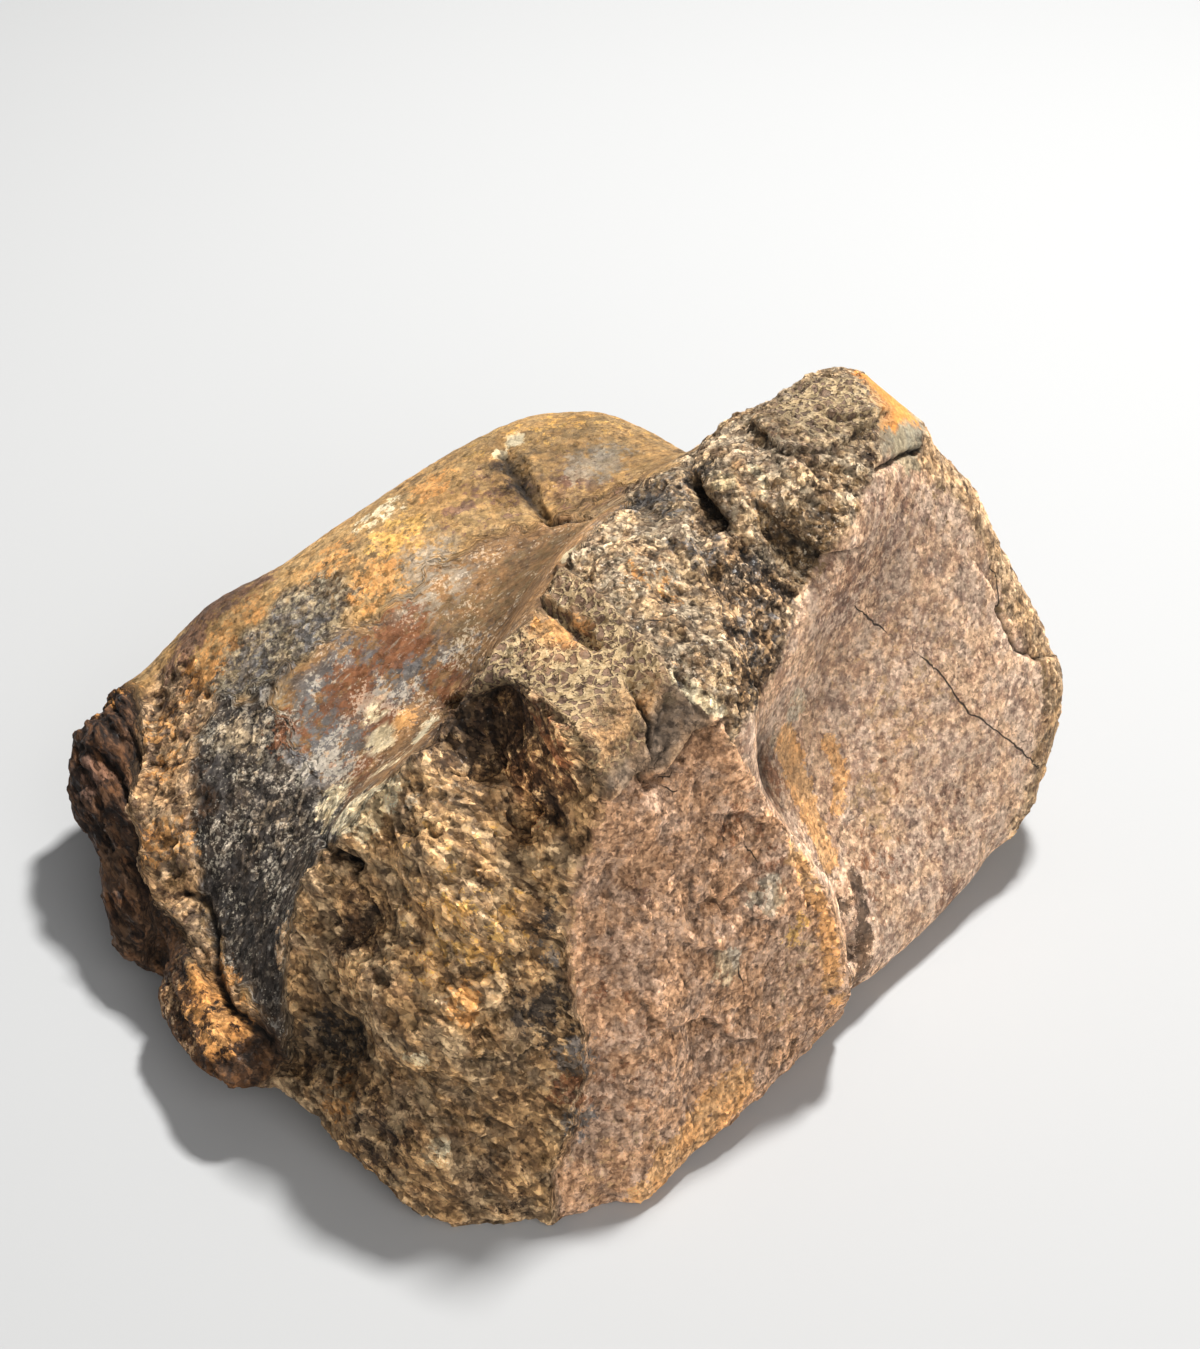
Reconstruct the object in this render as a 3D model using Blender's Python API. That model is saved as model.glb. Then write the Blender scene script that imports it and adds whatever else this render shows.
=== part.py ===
"""Fossil dinosaur toe bone: one weathered, broken bone with a saddle joint, a spongy break and a hollow side.

The skin is a smooth surface through landmarks. A landmark on the seen side is a pixel column and row of the
1200 x 1349 photograph with a height above the resting plane in mm; one on the hidden side is x, y, z in mm.
Ridges, grooves, steps, lumps and pits are then worked into that skin along strokes that are pinned on it.
"""
import math

import bmesh
import bpy
import numpy as np
from mathutils import Vector, noise
from mathutils.bvhtree import BVHTree

MM = 0.001
BONE_LENGTH = 0.156
TRIANGLES = 9600
BONE_COLOUR = (0.33, 0.22, 0.13, 1.0)
BONE_ROUGHNESS = 0.85

# The view that the landmarks are read in: its sight point, tilt, roll, distance and focal length in pixels
IMAGE_WIDTH = 1200
IMAGE_HEIGHT = 1349
FOCAL_PIXELS = 2598.9
VIEW_TILT = math.radians(37.04)
VIEW_ROLL = math.radians(0.59)
VIEW_DISTANCE = 444.4
SIGHT_POINT = np.array([7.0, 70.0, 0.0])

# Middle of the bone in mm: every landmark is in plain sight from here
CORE = np.array([3.0, 0.0, 30.0])
SMOOTH_SLACK = 0.006
EXACT_SLACK = 0.0012
SPHERE_LEVEL = 7

# Unevenness in mm: the span of each kind of bump, how high it stands and how soft a step's edge is
WAVE_SPAN = 22.0
WAVE_HEIGHT = 0.5
CHUNK_SPAN = 7.5
CHUNK_HEIGHT = 1.4
GRAIN_SPAN = 4.5
GRAIN_HEIGHT = 0.75
STEP_SHARPNESS = 0.8

# Saddle: the smooth, sunken joint surface at the upper left, its rolled edges and the fibrous left end
SADDLE_ROLL = [(665, 428, 60), (630, 418, 62), (590, 414, 62), (520, 424, 61), (450, 458, 57), (395, 490, 53),
               (350, 518, 49), (300, 552, 45)]
SADDLE_LIP = [(262, 580, 40), (215, 598, 38), (165, 655, 31)]
SADDLE_FLOOR = [(640, 480, 61), (590, 510, 59), (540, 560, 56), (490, 620, 51), (440, 680, 45), (390, 740, 39),
                (345, 795, 34), (300, 850, 28), (265, 905, 22), (250, 965, 17)]
SADDLE_FLANK = [(620, 440, 61), (560, 460, 60), (500, 500, 58), (440, 545, 54), (380, 590, 49), (430, 610, 50),
                (330, 640, 43), (370, 680, 42), (280, 680, 37), (310, 740, 35), (240, 740, 32), (255, 810, 28),
                (205, 770, 29), (210, 850, 24), (215, 920, 18)]
LEFT_END = [(130, 678, 27), (85, 725, 23), (75, 765, 20), (79, 815, 17), (94, 850, 14), (104, 880, 12),
            (108, 915, 10), (122, 946, 9), (160, 700, 28), (150, 760, 26), (155, 820, 23),
            (165, 870, 19), (110, 760, 22), (120, 830, 17), (140, 900, 13)]
FLANGE = [(152, 982, 9), (161, 1013, 9), (184, 1056, 9), (206, 1080, 9), (227, 1099, 9), (190, 900, 17),
          (175, 950, 13), (184, 1000, 13), (205, 1045, 13), (224, 1072, 12), (203, 940, 17), (224, 1000, 16),
          (238, 1037, 15), (262, 1050, 14), (284, 1056, 14)]

# Crest: the broken edge that runs down between the saddle and the break
CREST = [(692, 458, 72), (655, 478, 71), (620, 505, 70), (590, 540, 69), (565, 575, 67), (540, 605, 66),
         (500, 660, 61), (465, 695, 57), (430, 735, 52), (400, 765, 48), (365, 790, 44), (335, 830, 40),
         (300, 880, 33), (280, 935, 26), (290, 1000, 18)]

# Break: the spongy band up to the peak, the honeycombed block and the rough face under it
PEAK = [(931, 449, 68), (928, 417, 74), (890, 380, 77), (850, 370, 79), (820, 372, 79), (780, 400, 77),
        (740, 425, 75), (912, 397, 75), (915, 440, 72)]
BREAK_BAND = [(640, 540, 70), (680, 500, 72), (740, 470, 76), (790, 430, 78), (840, 410, 79), (700, 560, 70),
              (640, 600, 69), (690, 620, 68), (760, 520, 72), (820, 480, 74), (870, 450, 75), (760, 600, 64),
              (790, 560, 67), (830, 530, 69), (750, 680, 56)]
BLOCK = [(545, 640, 66), (600, 650, 67), (650, 630, 68), (600, 700, 64), (650, 680, 65), (671, 663, 66),
         (708, 713, 61), (694, 558, 70), (721, 611, 67), (731, 665, 64), (733, 701, 61), (500, 665, 62),
         (530, 690, 63), (560, 720, 62), (590, 765, 59)]
BLOCK_HOLLOW = [(470, 720, 50), (500, 760, 50), (540, 810, 48)]
FRONT_RIDGE = [(598, 790, 56), (570, 850, 47), (563, 900, 41), (568, 960, 33), (575, 1020, 26), (580, 1080, 18),
               (578, 1140, 10)]
ROUGH_FACE = [(400, 830, 45), (470, 800, 50), (350, 900, 34), (430, 920, 38), (500, 930, 38), (330, 980, 24),
              (400, 1020, 27), (480, 1040, 26), (340, 1070, 14), (400, 1120, 13), (480, 1150, 10),
              (540, 1130, 13)]
FRONT_FOOT = [(306, 1088, 12), (350, 1150, 7), (400, 1190, 3), (440, 1222, 1), (475, 1232, 0), (530, 1225, 0),
              (570, 1216, 1)]

# Right side: the red face, the step along it and the broad shallow bowl
BOWL_RIDGE = [(882, 400, 77), (880, 440, 75), (870, 480, 72), (850, 530, 68), (820, 580, 64), (795, 630, 59),
              (770, 680, 54), (745, 735, 49)]
BOWL = [(915, 480, 68), (900, 540, 60), (870, 600, 53), (840, 660, 46), (800, 720, 42), (950, 530, 59),
        (940, 600, 50), (920, 680, 40), (880, 750, 33), (830, 790, 31), (990, 600, 45), (1000, 680, 34),
        (980, 760, 24), (940, 830, 17), (880, 860, 19), (900, 930, 8), (1000, 820, 13)]
BOWL_RIM = [(862, 1000, 0), (895, 983, 1), (938, 943, 2), (972, 903, 4), (1000, 863, 7), (1028, 808, 12),
            (1041, 745, 20), (1056, 690, 27), (1042, 655, 33), (1025, 615, 40), (1006, 570, 47), (989, 519, 54),
            (963, 482, 62)]
RED_FACE = [(640, 800, 54), (700, 780, 52), (740, 800, 47), (620, 870, 44), (690, 880, 40), (760, 880, 36),
            (630, 950, 35), (700, 960, 30), (780, 950, 25), (620, 1040, 24), (690, 1040, 20), (770, 1020, 15),
            (620, 1120, 13), (690, 1100, 10)]
RED_STEP = [(745, 755, 47), (775, 805, 40), (805, 850, 34), (825, 880, 30), (840, 915, 24), (850, 950, 18),
            (843, 1000, 8)]
RED_FOOT = [(610, 1200, 2), (640, 1210, 0), (670, 1185, 1), (703, 1148, 2), (735, 1120, 2), (760, 1096, 3),
            (800, 1058, 4), (835, 1020, 6)]

# Hidden side in mm: the back rises under the rolled edge and the peak, the belly closes the bone below
BACK_TOP = [(-58, 45, 17), (-40, 53, 25), (-15, 63, 39), (10, 64, 45), (22, 48, 55), (33, 52, 50), (48, 44, 64),
            (62, 46, 48)]
BACK = [(-67, 32, 12), (-45, 52, 14), (-15, 62, 24), (12, 60, 28), (40, 57, 30), (67, 48, 28), (77, 40, 14),
        (-15, 54, 8), (15, 54, 8), (45, 52, 7), (70, 44, 5), (-40, 46, 8)]
BELLY = [(-58, 10, 7), (-48, -14, 4), (-36, -22, 3), (-35, -29, 9), (-40, -29, 6), (-30, -30, 4), (-35, 0, 3),
         (-32, 30, 4), (-10, -32, 2), (15, -32, 1),
         (-8, 0, -2), (-8, 28, -1), (15, 12, -3), (22, -12, -1), (38, 5, -2), (34, 34, -1), (58, 8, 2),
         (60, 30, 3)]

# Strokes worked into the skin, each a height and a reach in mm and the pixels it runs through.
# A negative height sinks it. A ridge or groove is sharp along its line; a step drops to its right side.
RIDGES = {
    "crest": (1.8, 2.9, [(682, 462), (635, 486), (578, 543), (562, 568), (539, 607), (480, 676), (430, 740),
                         (382, 790), (330, 840), (280, 940)]),
    "bowl_ridge": (2.2, 2.9, [(884, 418), (884, 450), (859, 514), (828, 560), (817, 590), (790, 655),
                              (763, 697), (740, 745)]),
    "front_ridge": (2.4, 3.2, [(600, 800), (591, 822), (576, 870), (566, 914), (566, 990), (580, 1034),
                               (583, 1092), (578, 1170)]),
    "block_left": (1.6, 2.5, [(490, 680), (526, 694), (549, 713), (587, 751), (599, 782)]),
    "block_strip": (1.0, 2.1, [(580, 562), (618, 590), (652, 632), (675, 671), (708, 717)]),
    "red_edge": (2.6, 3.9, [(738, 757), (764, 812), (798, 855), (822, 888), (834, 920), (838, 985)]),
    "end_ridge": (1.4, 2.1, [(142, 707), (140, 761), (132, 799), (142, 837), (151, 883), (176, 914), (192, 944),
                             (211, 983)]),
}
GROOVES = {
    "saddle_chip": (-2.6, 2.1, [(503, 458), (515, 483), (530, 503), (541, 519)]),
    "saddle_crack": (-0.8, 1.4, [(543, 521), (570, 518), (597, 515)]),
    "crest_notch": (-1.6, 1.7, [(689, 456), (694, 483), (706, 510), (727, 521)]),
    "crest_nick": (-1.6, 1.7, [(624, 494), (642, 504), (652, 512)]),
    "block_crack": (-1.5, 1.3, [(541, 604), (560, 613), (576, 630), (599, 644), (618, 663), (629, 682),
                                (645, 709), (648, 732), (651, 765)]),
    "block_under": (-1.6, 2.1, [(612, 797), (626, 787), (649, 774), (675, 758), (696, 740), (716, 722)]),
    "bowl_seam": (-4.0, 2.3, [(752, 752), (785, 806), (818, 850), (842, 884), (852, 930), (853, 975)]),
    "flange_gap": (-2.2, 1.7, [(200, 905), (214, 950), (233, 1000), (247, 1034), (287, 1050)]),
    "end_gap": (-3.6, 2.2, [(147, 668), (150, 690), (152, 720), (148, 760)]),
    "dark_slot": (-1.6, 1.6, [(322, 845), (338, 858), (356, 868)]),
}
STEPS = {
    "band_step": (0.9, 6.0, [(700, 470), (722, 512), (704, 548), (716, 598), (730, 650), (734, 697)]),
    "upper_step": (1.0, 5.0, [(756, 424), (776, 470), (772, 512), (802, 542), (826, 556)]),
    "cap_step": (0.5, 4.0, [(858, 378), (852, 420), (868, 446), (866, 470)]),
    "rim_flake": (0.4, 4.0, [(1016, 646), (1001, 622), (996, 596), (978, 569)]),
}
# Lumps and pits: column, row, height and radius in mm
LUMPS = [(405, 722, 2.0, 3.1), (380, 742, 1.2, 3.1), (345, 826, 2.0, 3.8), (640, 560, 1.2, 4.6),
         (836, 520, 1.6, 4.6), (800, 470, 1.4, 3.8), (850, 470, 1.2, 3.8), (770, 620, 1.0, 4.6),
         (500, 905, 1.6, 5.4), (430, 870, 1.4, 5.4), (450, 1010, 1.6, 6.2), (380, 1000, 1.4, 4.6),
         (520, 1080, 1.4, 5.4), (430, 1150, 1.6, 6.2), (300, 990, 1.4, 3.8), (120, 900, 1.4, 3.8),
         (105, 740, 1.6, 3.8), (560, 940, 1.2, 3.8), (660, 900, 1.0, 6.2), (640, 1100, 1.0, 6.9)]
PITS = [(365, 921, -2.2, 3.8), (340, 1044, -2.6, 5.0), (505, 740, -2.4, 5.4), (545, 800, -1.8, 3.8),
        (790, 590, -1.4, 3.8), (740, 560, -1.2, 3.8), (812, 505, -1.4, 3.1), (700, 590, -1.0, 3.1),
        (560, 1010, -1.0, 3.8), (480, 960, -1.2, 3.8), (400, 940, -1.0, 3.8), (470, 1090, -1.2, 4.6),
        (850, 950, -2.6, 3.1), (713, 900, -1.0, 3.1), (705, 1030, -1.2, 3.8), (240, 1040, -1.6, 3.1),
        (128, 860, -1.4, 3.1), (288, 1070, -4.0, 3.6), (145, 965, -4.0, 3.0),
        (612, 1198, -1.6, 2.2)]

# Groups of landmarks with how rough the surface is there and how closely the skin keeps to them
SEEN = [
    (0.0, EXACT_SLACK, SADDLE_ROLL + SADDLE_LIP + BOWL_RIM + BOWL_RIDGE),
    (0.0, SMOOTH_SLACK, SADDLE_FLOOR + SADDLE_FLANK + BOWL),
    (0.3, EXACT_SLACK, RED_FACE + RED_STEP + RED_FOOT + CREST),
    (0.3, EXACT_SLACK, FLANGE),
    (0.8, EXACT_SLACK, BREAK_BAND + PEAK + BLOCK + LEFT_END + FRONT_RIDGE),
    (1.0, EXACT_SLACK, BLOCK_HOLLOW + ROUGH_FACE + FRONT_FOOT),
]
HIDDEN_ROUGHNESS = 0.4


def sight_direction(column, row):
    """Direction of the line of sight through a pixel, and the eye it starts from, in mm."""
    ahead = np.array([0.0, math.cos(VIEW_TILT), -math.sin(VIEW_TILT)])
    level = np.array([1.0, 0.0, 0.0])
    raised = np.cross(level, ahead)
    across = math.cos(VIEW_ROLL) * level + math.sin(VIEW_ROLL) * raised
    upward = math.cos(VIEW_ROLL) * raised - math.sin(VIEW_ROLL) * level
    eye = SIGHT_POINT - VIEW_DISTANCE * ahead
    aim = (FOCAL_PIXELS * ahead + (column - IMAGE_WIDTH / 2) * across - (row - IMAGE_HEIGHT / 2) * upward)
    return eye, aim / np.linalg.norm(aim)


def landmark_point(column, row, height):
    """The point at a height, in mm, that the view shows at a pixel."""
    eye, aim = sight_direction(column, row)
    return eye + aim * (height - eye[2]) / aim[2]


def all_landmarks():
    """Every landmark as a point in mm, with the roughness around it and the slack of the skin there."""
    points = []
    rough = []
    slack = []
    for value, looseness, group in SEEN:
        points += [landmark_point(*mark) for mark in group]
        rough += [value] * len(group)
        slack += [looseness] * len(group)
    hidden = BACK_TOP + BACK + BELLY
    points += [np.array(mark, float) for mark in hidden]
    rough += [HIDDEN_ROUGHNESS] * len(hidden)
    slack += [EXACT_SLACK] * len(hidden)
    return np.array(points), np.array(rough), np.array(slack)


def thin_plate(distance):
    """Thin-plate kernel."""
    return distance ** 2 * np.log(np.maximum(distance, 1e-9))


def spline_radii(marks, slack, directions):
    """Radius of the skin along each unit direction: a thin-plate spline over the landmarks' directions."""
    radii = np.linalg.norm(marks - CORE, axis=1)
    units = (marks - CORE) / radii[:, None]
    count = len(marks)
    gaps = np.linalg.norm(units[:, None] - units[None], axis=2)
    plane = np.c_[np.ones(count), units]
    system = np.zeros((count + 4, count + 4))
    system[:count, :count] = thin_plate(gaps) + np.diag(slack)
    system[:count, count:] = plane
    system[count:, :count] = plane.T
    weights = np.linalg.solve(system, np.r_[radii, np.zeros(4)])
    reach = np.linalg.norm(directions[:, None] - units[None], axis=2)
    return thin_plate(reach) @ weights[:count] + np.c_[np.ones(len(directions)), directions] @ weights[count:]


def unit_sphere():
    """Unit directions and triangles of an even sphere."""
    ball = bmesh.new()
    bmesh.ops.create_icosphere(ball, subdivisions=SPHERE_LEVEL, radius=1.0)
    directions = np.array([vert.co for vert in ball.verts])
    faces = [[vert.index for vert in face.verts] for face in ball.faces]
    ball.free()
    return directions / np.linalg.norm(directions, axis=1)[:, None], faces


def new_object(name, points, faces):
    """A mesh object from points in mm."""
    mesh = bpy.data.meshes.new(name)
    mesh.from_pydata([Vector(point * MM) for point in points], [], faces)
    mesh.update()
    thing = bpy.data.objects.new(name, mesh)
    bpy.context.scene.collection.objects.link(thing)
    return thing


def pinned(tree, pixels):
    """Where the skin, given as a tree of its faces in mm, is seen at each pixel."""
    places = []
    for column, row in pixels:
        eye, aim = sight_direction(column, row)
        place = tree.ray_cast(Vector(eye), Vector(aim))[0]
        places.append(np.array(place))
    return places


def line_distance(points, normals, line):
    """Distance in mm from each point to a line of places, and its side: 1 on the left, -1 on the right."""
    nearest = np.full(len(points), np.inf)
    side = np.ones(len(points))
    for start, end in zip(line, line[1:]):
        run = end - start
        share = np.clip((points - start) @ run / (run @ run), 0, 1)
        away = points - (start + share[:, None] * run)
        distance = np.linalg.norm(away, axis=1)
        left = np.sign(np.einsum("ij,ij->i", np.cross(normals, run), away))
        closer = distance < nearest
        nearest[closer] = distance[closer]
        side[closer] = left[closer]
    return nearest, side


def worked(points, normals, tree):
    """How far in mm each point moves along its normal under the strokes, lumps and pits."""
    lift = np.zeros(len(points))
    for height, reach, pixels in list(RIDGES.values()) + list(GROOVES.values()):
        distance, side = line_distance(points, normals, pinned(tree, pixels))
        lift += height * np.exp(-distance / reach)
    for height, reach, pixels in STEPS.values():
        distance, side = line_distance(points, normals, pinned(tree, pixels))
        lift += side * height * np.exp(-distance / reach) * np.tanh(distance / STEP_SHARPNESS)
    for column, row, height, radius in LUMPS + PITS:
        place = pinned(tree, [(column, row)])[0]
        distance = np.linalg.norm(points - place, axis=1)
        lift += height * np.exp(-(distance / radius) ** 2)
    return lift


def weathered(points, rough):
    """Seeded unevenness in mm: gentle waves on the smooth bone, chunks and grains on the broken faces."""
    lift = np.zeros(len(points))
    for index, point in enumerate(points):
        place = Vector(point)
        wave = WAVE_HEIGHT * noise.fractal(place / WAVE_SPAN, 1.0, 2.0, 3)
        first, second = noise.voronoi(place / CHUNK_SPAN)[0][:2]
        chunk = CHUNK_HEIGHT * (min(second - first, 0.5) - 0.25)
        grain = GRAIN_HEIGHT * noise.fractal(place / GRAIN_SPAN, 0.6, 2.0, 3)
        lift[index] = wave + rough[index] * (chunk + grain)
    return lift


def near_value(points, marks, values):
    """Value of the landmarks near each point, blended where they meet."""
    total = np.zeros(len(points))
    weight = np.zeros(len(points))
    for mark, value in zip(marks, values):
        share = 1.0 / (np.linalg.norm(points - mark, axis=1) + 1.0) ** 5
        total += share * value
        weight += share
    return total / weight


def thinned(thing, triangles):
    """The object's shape with about so many triangles left."""
    shrink = thing.modifiers.new("fewer_triangles", "DECIMATE")
    shrink.ratio = triangles / len(thing.data.polygons)
    solid = thing.evaluated_get(bpy.context.evaluated_depsgraph_get()).to_mesh()
    shape = bmesh.new()
    shape.from_mesh(solid)
    return shape


def cut_flat(shape, height):
    """Cut the shape level at a height, throw away what is below and close it with one flat face."""
    everything = shape.verts[:] + shape.edges[:] + shape.faces[:]
    cut = bmesh.ops.bisect_plane(shape, geom=everything, dist=1e-6, plane_co=(0, 0, height),
                                 plane_no=(0, 0, 1), clear_inner=True)
    rim = [edge for edge in cut["geom_cut"] if isinstance(edge, bmesh.types.BMEdge)]
    bmesh.ops.holes_fill(shape, edges=rim, sides=0)


def fossil_stone():
    """Matt brown petrified bone."""
    stone = bpy.data.materials.new("fossil_bone")
    stone.use_nodes = True
    surface = stone.node_tree.nodes["Principled BSDF"]
    surface.inputs["Base Color"].default_value = BONE_COLOUR
    surface.inputs["Roughness"].default_value = BONE_ROUGHNESS
    surface.inputs["Metallic"].default_value = 0.0
    return stone


for thing in list(bpy.data.objects):
    bpy.data.objects.remove(thing)

# Smooth skin through the landmarks
marks, roughness, slack = all_landmarks()
directions, faces = unit_sphere()
points = CORE + directions * spline_radii(marks, slack, directions)[:, None]
skin = new_object("skin", points, faces)
normals = np.empty(len(points) * 3, np.float32)
skin.data.vertex_normals.foreach_get("vector", normals)
normals = normals.reshape(-1, 3)

# Ridges, grooves, steps, lumps, pits and unevenness
tree = BVHTree.FromPolygons([Vector(point) for point in points], faces)
rough = near_value(points, marks, roughness)
points = points + normals * (worked(points, normals, tree) + weathered(points, rough))[:, None]
skin.data.vertices.foreach_set("co", (points * MM).astype(np.float32).ravel())
skin.data.update()

# Flat resting face, real length, origin at the bottom centre of the box
shape = thinned(skin, TRIANGLES)
cut_flat(shape, 0.0)
corners = np.array([vert.co for vert in shape.verts])
low = corners.min(axis=0)
high = corners.max(axis=0)
size = BONE_LENGTH / (high[0] - low[0])
middle = (low + high) / 2
bmesh.ops.translate(shape, verts=shape.verts, vec=(-middle[0], -middle[1], -low[2]))
bmesh.ops.scale(shape, verts=shape.verts, vec=(size, size, size))
bmesh.ops.triangulate(shape, faces=shape.faces[:])
mesh = bpy.data.meshes.new("toe_bone")
shape.to_mesh(mesh)
shape.free()
bone = bpy.data.objects.new("toe_bone", mesh)
bone.data.materials.append(fossil_stone())
bpy.context.scene.collection.objects.link(bone)
bpy.data.objects.remove(skin)
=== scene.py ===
import math

import bmesh
import bpy
import numpy as np
from mathutils import Matrix, Vector
from mathutils.bvhtree import BVHTree
from mathutils.kdtree import KDTree


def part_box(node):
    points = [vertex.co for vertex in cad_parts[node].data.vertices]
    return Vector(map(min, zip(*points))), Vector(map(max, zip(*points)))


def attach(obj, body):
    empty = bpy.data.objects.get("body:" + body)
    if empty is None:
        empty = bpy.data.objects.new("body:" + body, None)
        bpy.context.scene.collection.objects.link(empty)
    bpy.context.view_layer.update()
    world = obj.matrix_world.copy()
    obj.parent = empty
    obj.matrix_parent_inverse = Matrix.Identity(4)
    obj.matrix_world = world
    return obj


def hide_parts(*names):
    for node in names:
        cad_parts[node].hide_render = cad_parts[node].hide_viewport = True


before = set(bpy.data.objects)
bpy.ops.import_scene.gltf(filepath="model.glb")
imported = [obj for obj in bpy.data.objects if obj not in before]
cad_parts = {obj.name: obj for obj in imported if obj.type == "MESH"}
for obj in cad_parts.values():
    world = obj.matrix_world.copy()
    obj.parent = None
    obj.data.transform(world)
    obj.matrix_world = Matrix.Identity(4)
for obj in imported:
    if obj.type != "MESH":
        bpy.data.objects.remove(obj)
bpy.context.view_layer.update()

# The view: the camera stands where the photograph was taken from, about 0.4 m from the bone and 37 degrees above
# the table, with a small roll. Places on the bone below are named by the pixel of the 1200 x 1349 photograph
# that shows them.
IMAGE_WIDTH = 1200
IMAGE_HEIGHT = 1349
FOCAL_PIXELS = 2598.9
SENSOR_HEIGHT = 24.0
NEAREST_SHOWN = 0.01
VIEW_TILT = math.radians(37.04)
VIEW_ROLL = math.radians(0.59)
EYE = np.array([0.00468, -0.29640, 0.27275])

ahead = np.array([0.0, math.cos(VIEW_TILT), -math.sin(VIEW_TILT)])
level = np.array([1.0, 0.0, 0.0])
raised = np.cross(level, ahead)
across = math.cos(VIEW_ROLL) * level + math.sin(VIEW_ROLL) * raised
upward = math.cos(VIEW_ROLL) * raised - math.sin(VIEW_ROLL) * level

camera = bpy.data.objects.new("camera", bpy.data.cameras.new("camera"))
bpy.context.scene.collection.objects.link(camera)
bpy.context.scene.camera = camera
camera.matrix_world = Matrix.Translation(Vector(EYE)) @ Matrix(
    [(across[row], upward[row], -ahead[row]) for row in range(3)]).to_4x4()
camera.data.sensor_fit = "VERTICAL"
camera.data.sensor_height = SENSOR_HEIGHT
camera.data.lens = SENSOR_HEIGHT * FOCAL_PIXELS / IMAGE_HEIGHT
camera.data.clip_start = NEAREST_SHOWN
bpy.context.scene.view_settings.view_transform = "Standard"


def sight(column, row):
    """Direction of the line of sight through a pixel of the photograph."""
    aim = FOCAL_PIXELS * ahead + (column - IMAGE_WIDTH / 2) * across - (row - IMAGE_HEIGHT / 2) * upward
    return Vector(aim).normalized()


# The floor and the light: a plain pale floor, a soft key light high behind the bone on the right that rakes the
# broken faces, a wide fill from the front on the right and a weak, even white surround.
FLOOR_SIZE = 3.0
FLOOR_COLOUR = (0.465, 0.475, 0.485, 1.0)
FLOOR_ROUGHNESS = 0.9
BONE_MIDDLE = Vector((0.0, 0.0, 0.03))
KEY_PLACE = (0.20, 0.34, 0.75)
KEY_SIZE = 0.10
KEY_POWER = 11.0
KEY_COLOUR = (1.0, 0.98, 0.95)
FILL_PLACE = (0.30, -0.80, 0.50)
FILL_SIZE = 0.9
FILL_POWER = 6.5
FILL_COLOUR = (1.0, 0.97, 0.94)
SURROUND = 0.17
SURROUND_COLOUR = (1.0, 1.0, 1.0, 1.0)

floor_mesh = bpy.data.meshes.new("floor")
half = FLOOR_SIZE / 2
floor_mesh.from_pydata([(-half, -half, 0), (half, -half, 0), (half, half, 0), (-half, half, 0)], [], [(0, 1, 2, 3)])
floor = bpy.data.objects.new("floor", floor_mesh)
bpy.context.scene.collection.objects.link(floor)
floor_paint = bpy.data.materials.new("floor_paint")
floor_paint.use_nodes = True
floor_inputs = floor_paint.node_tree.nodes["Principled BSDF"].inputs
floor_inputs["Base Color"].default_value = FLOOR_COLOUR
floor_inputs["Roughness"].default_value = FLOOR_ROUGHNESS
floor_mesh.materials.append(floor_paint)


def soft_lamp(name, place, size, power, colour):
    """A square lamp that faces the bone."""
    lamp = bpy.data.lights.new(name, "AREA")
    lamp.size = size
    lamp.energy = power
    lamp.color = colour
    stand = bpy.data.objects.new(name, lamp)
    stand.location = place
    stand.rotation_euler = (BONE_MIDDLE - Vector(place)).to_track_quat("-Z", "Y").to_euler()
    bpy.context.scene.collection.objects.link(stand)


soft_lamp("key_lamp", KEY_PLACE, KEY_SIZE, KEY_POWER, KEY_COLOUR)
soft_lamp("fill_lamp", FILL_PLACE, FILL_SIZE, FILL_POWER, FILL_COLOUR)
surround = bpy.data.worlds.new("surround")
surround.use_nodes = True
surround_inputs = surround.node_tree.nodes["Background"].inputs
surround_inputs["Color"].default_value = SURROUND_COLOUR
surround_inputs["Strength"].default_value = SURROUND
bpy.context.scene.world = surround

# The toe bone: one loose piece of petrified dinosaur bone, with two smooth joint surfaces between broken faces
# that show its spongy inside. It rests on its flat underside. Its skin is the CAD solid meshed again in fine, even
# quads and smoothed where the joint surfaces are smooth.
MM = 0.001
SKIN_SPACING = 0.86
SMOOTH_ROUNDS = 200
ROUGH_ROUNDS = 5
SMOOTHING = 0.5

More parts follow.
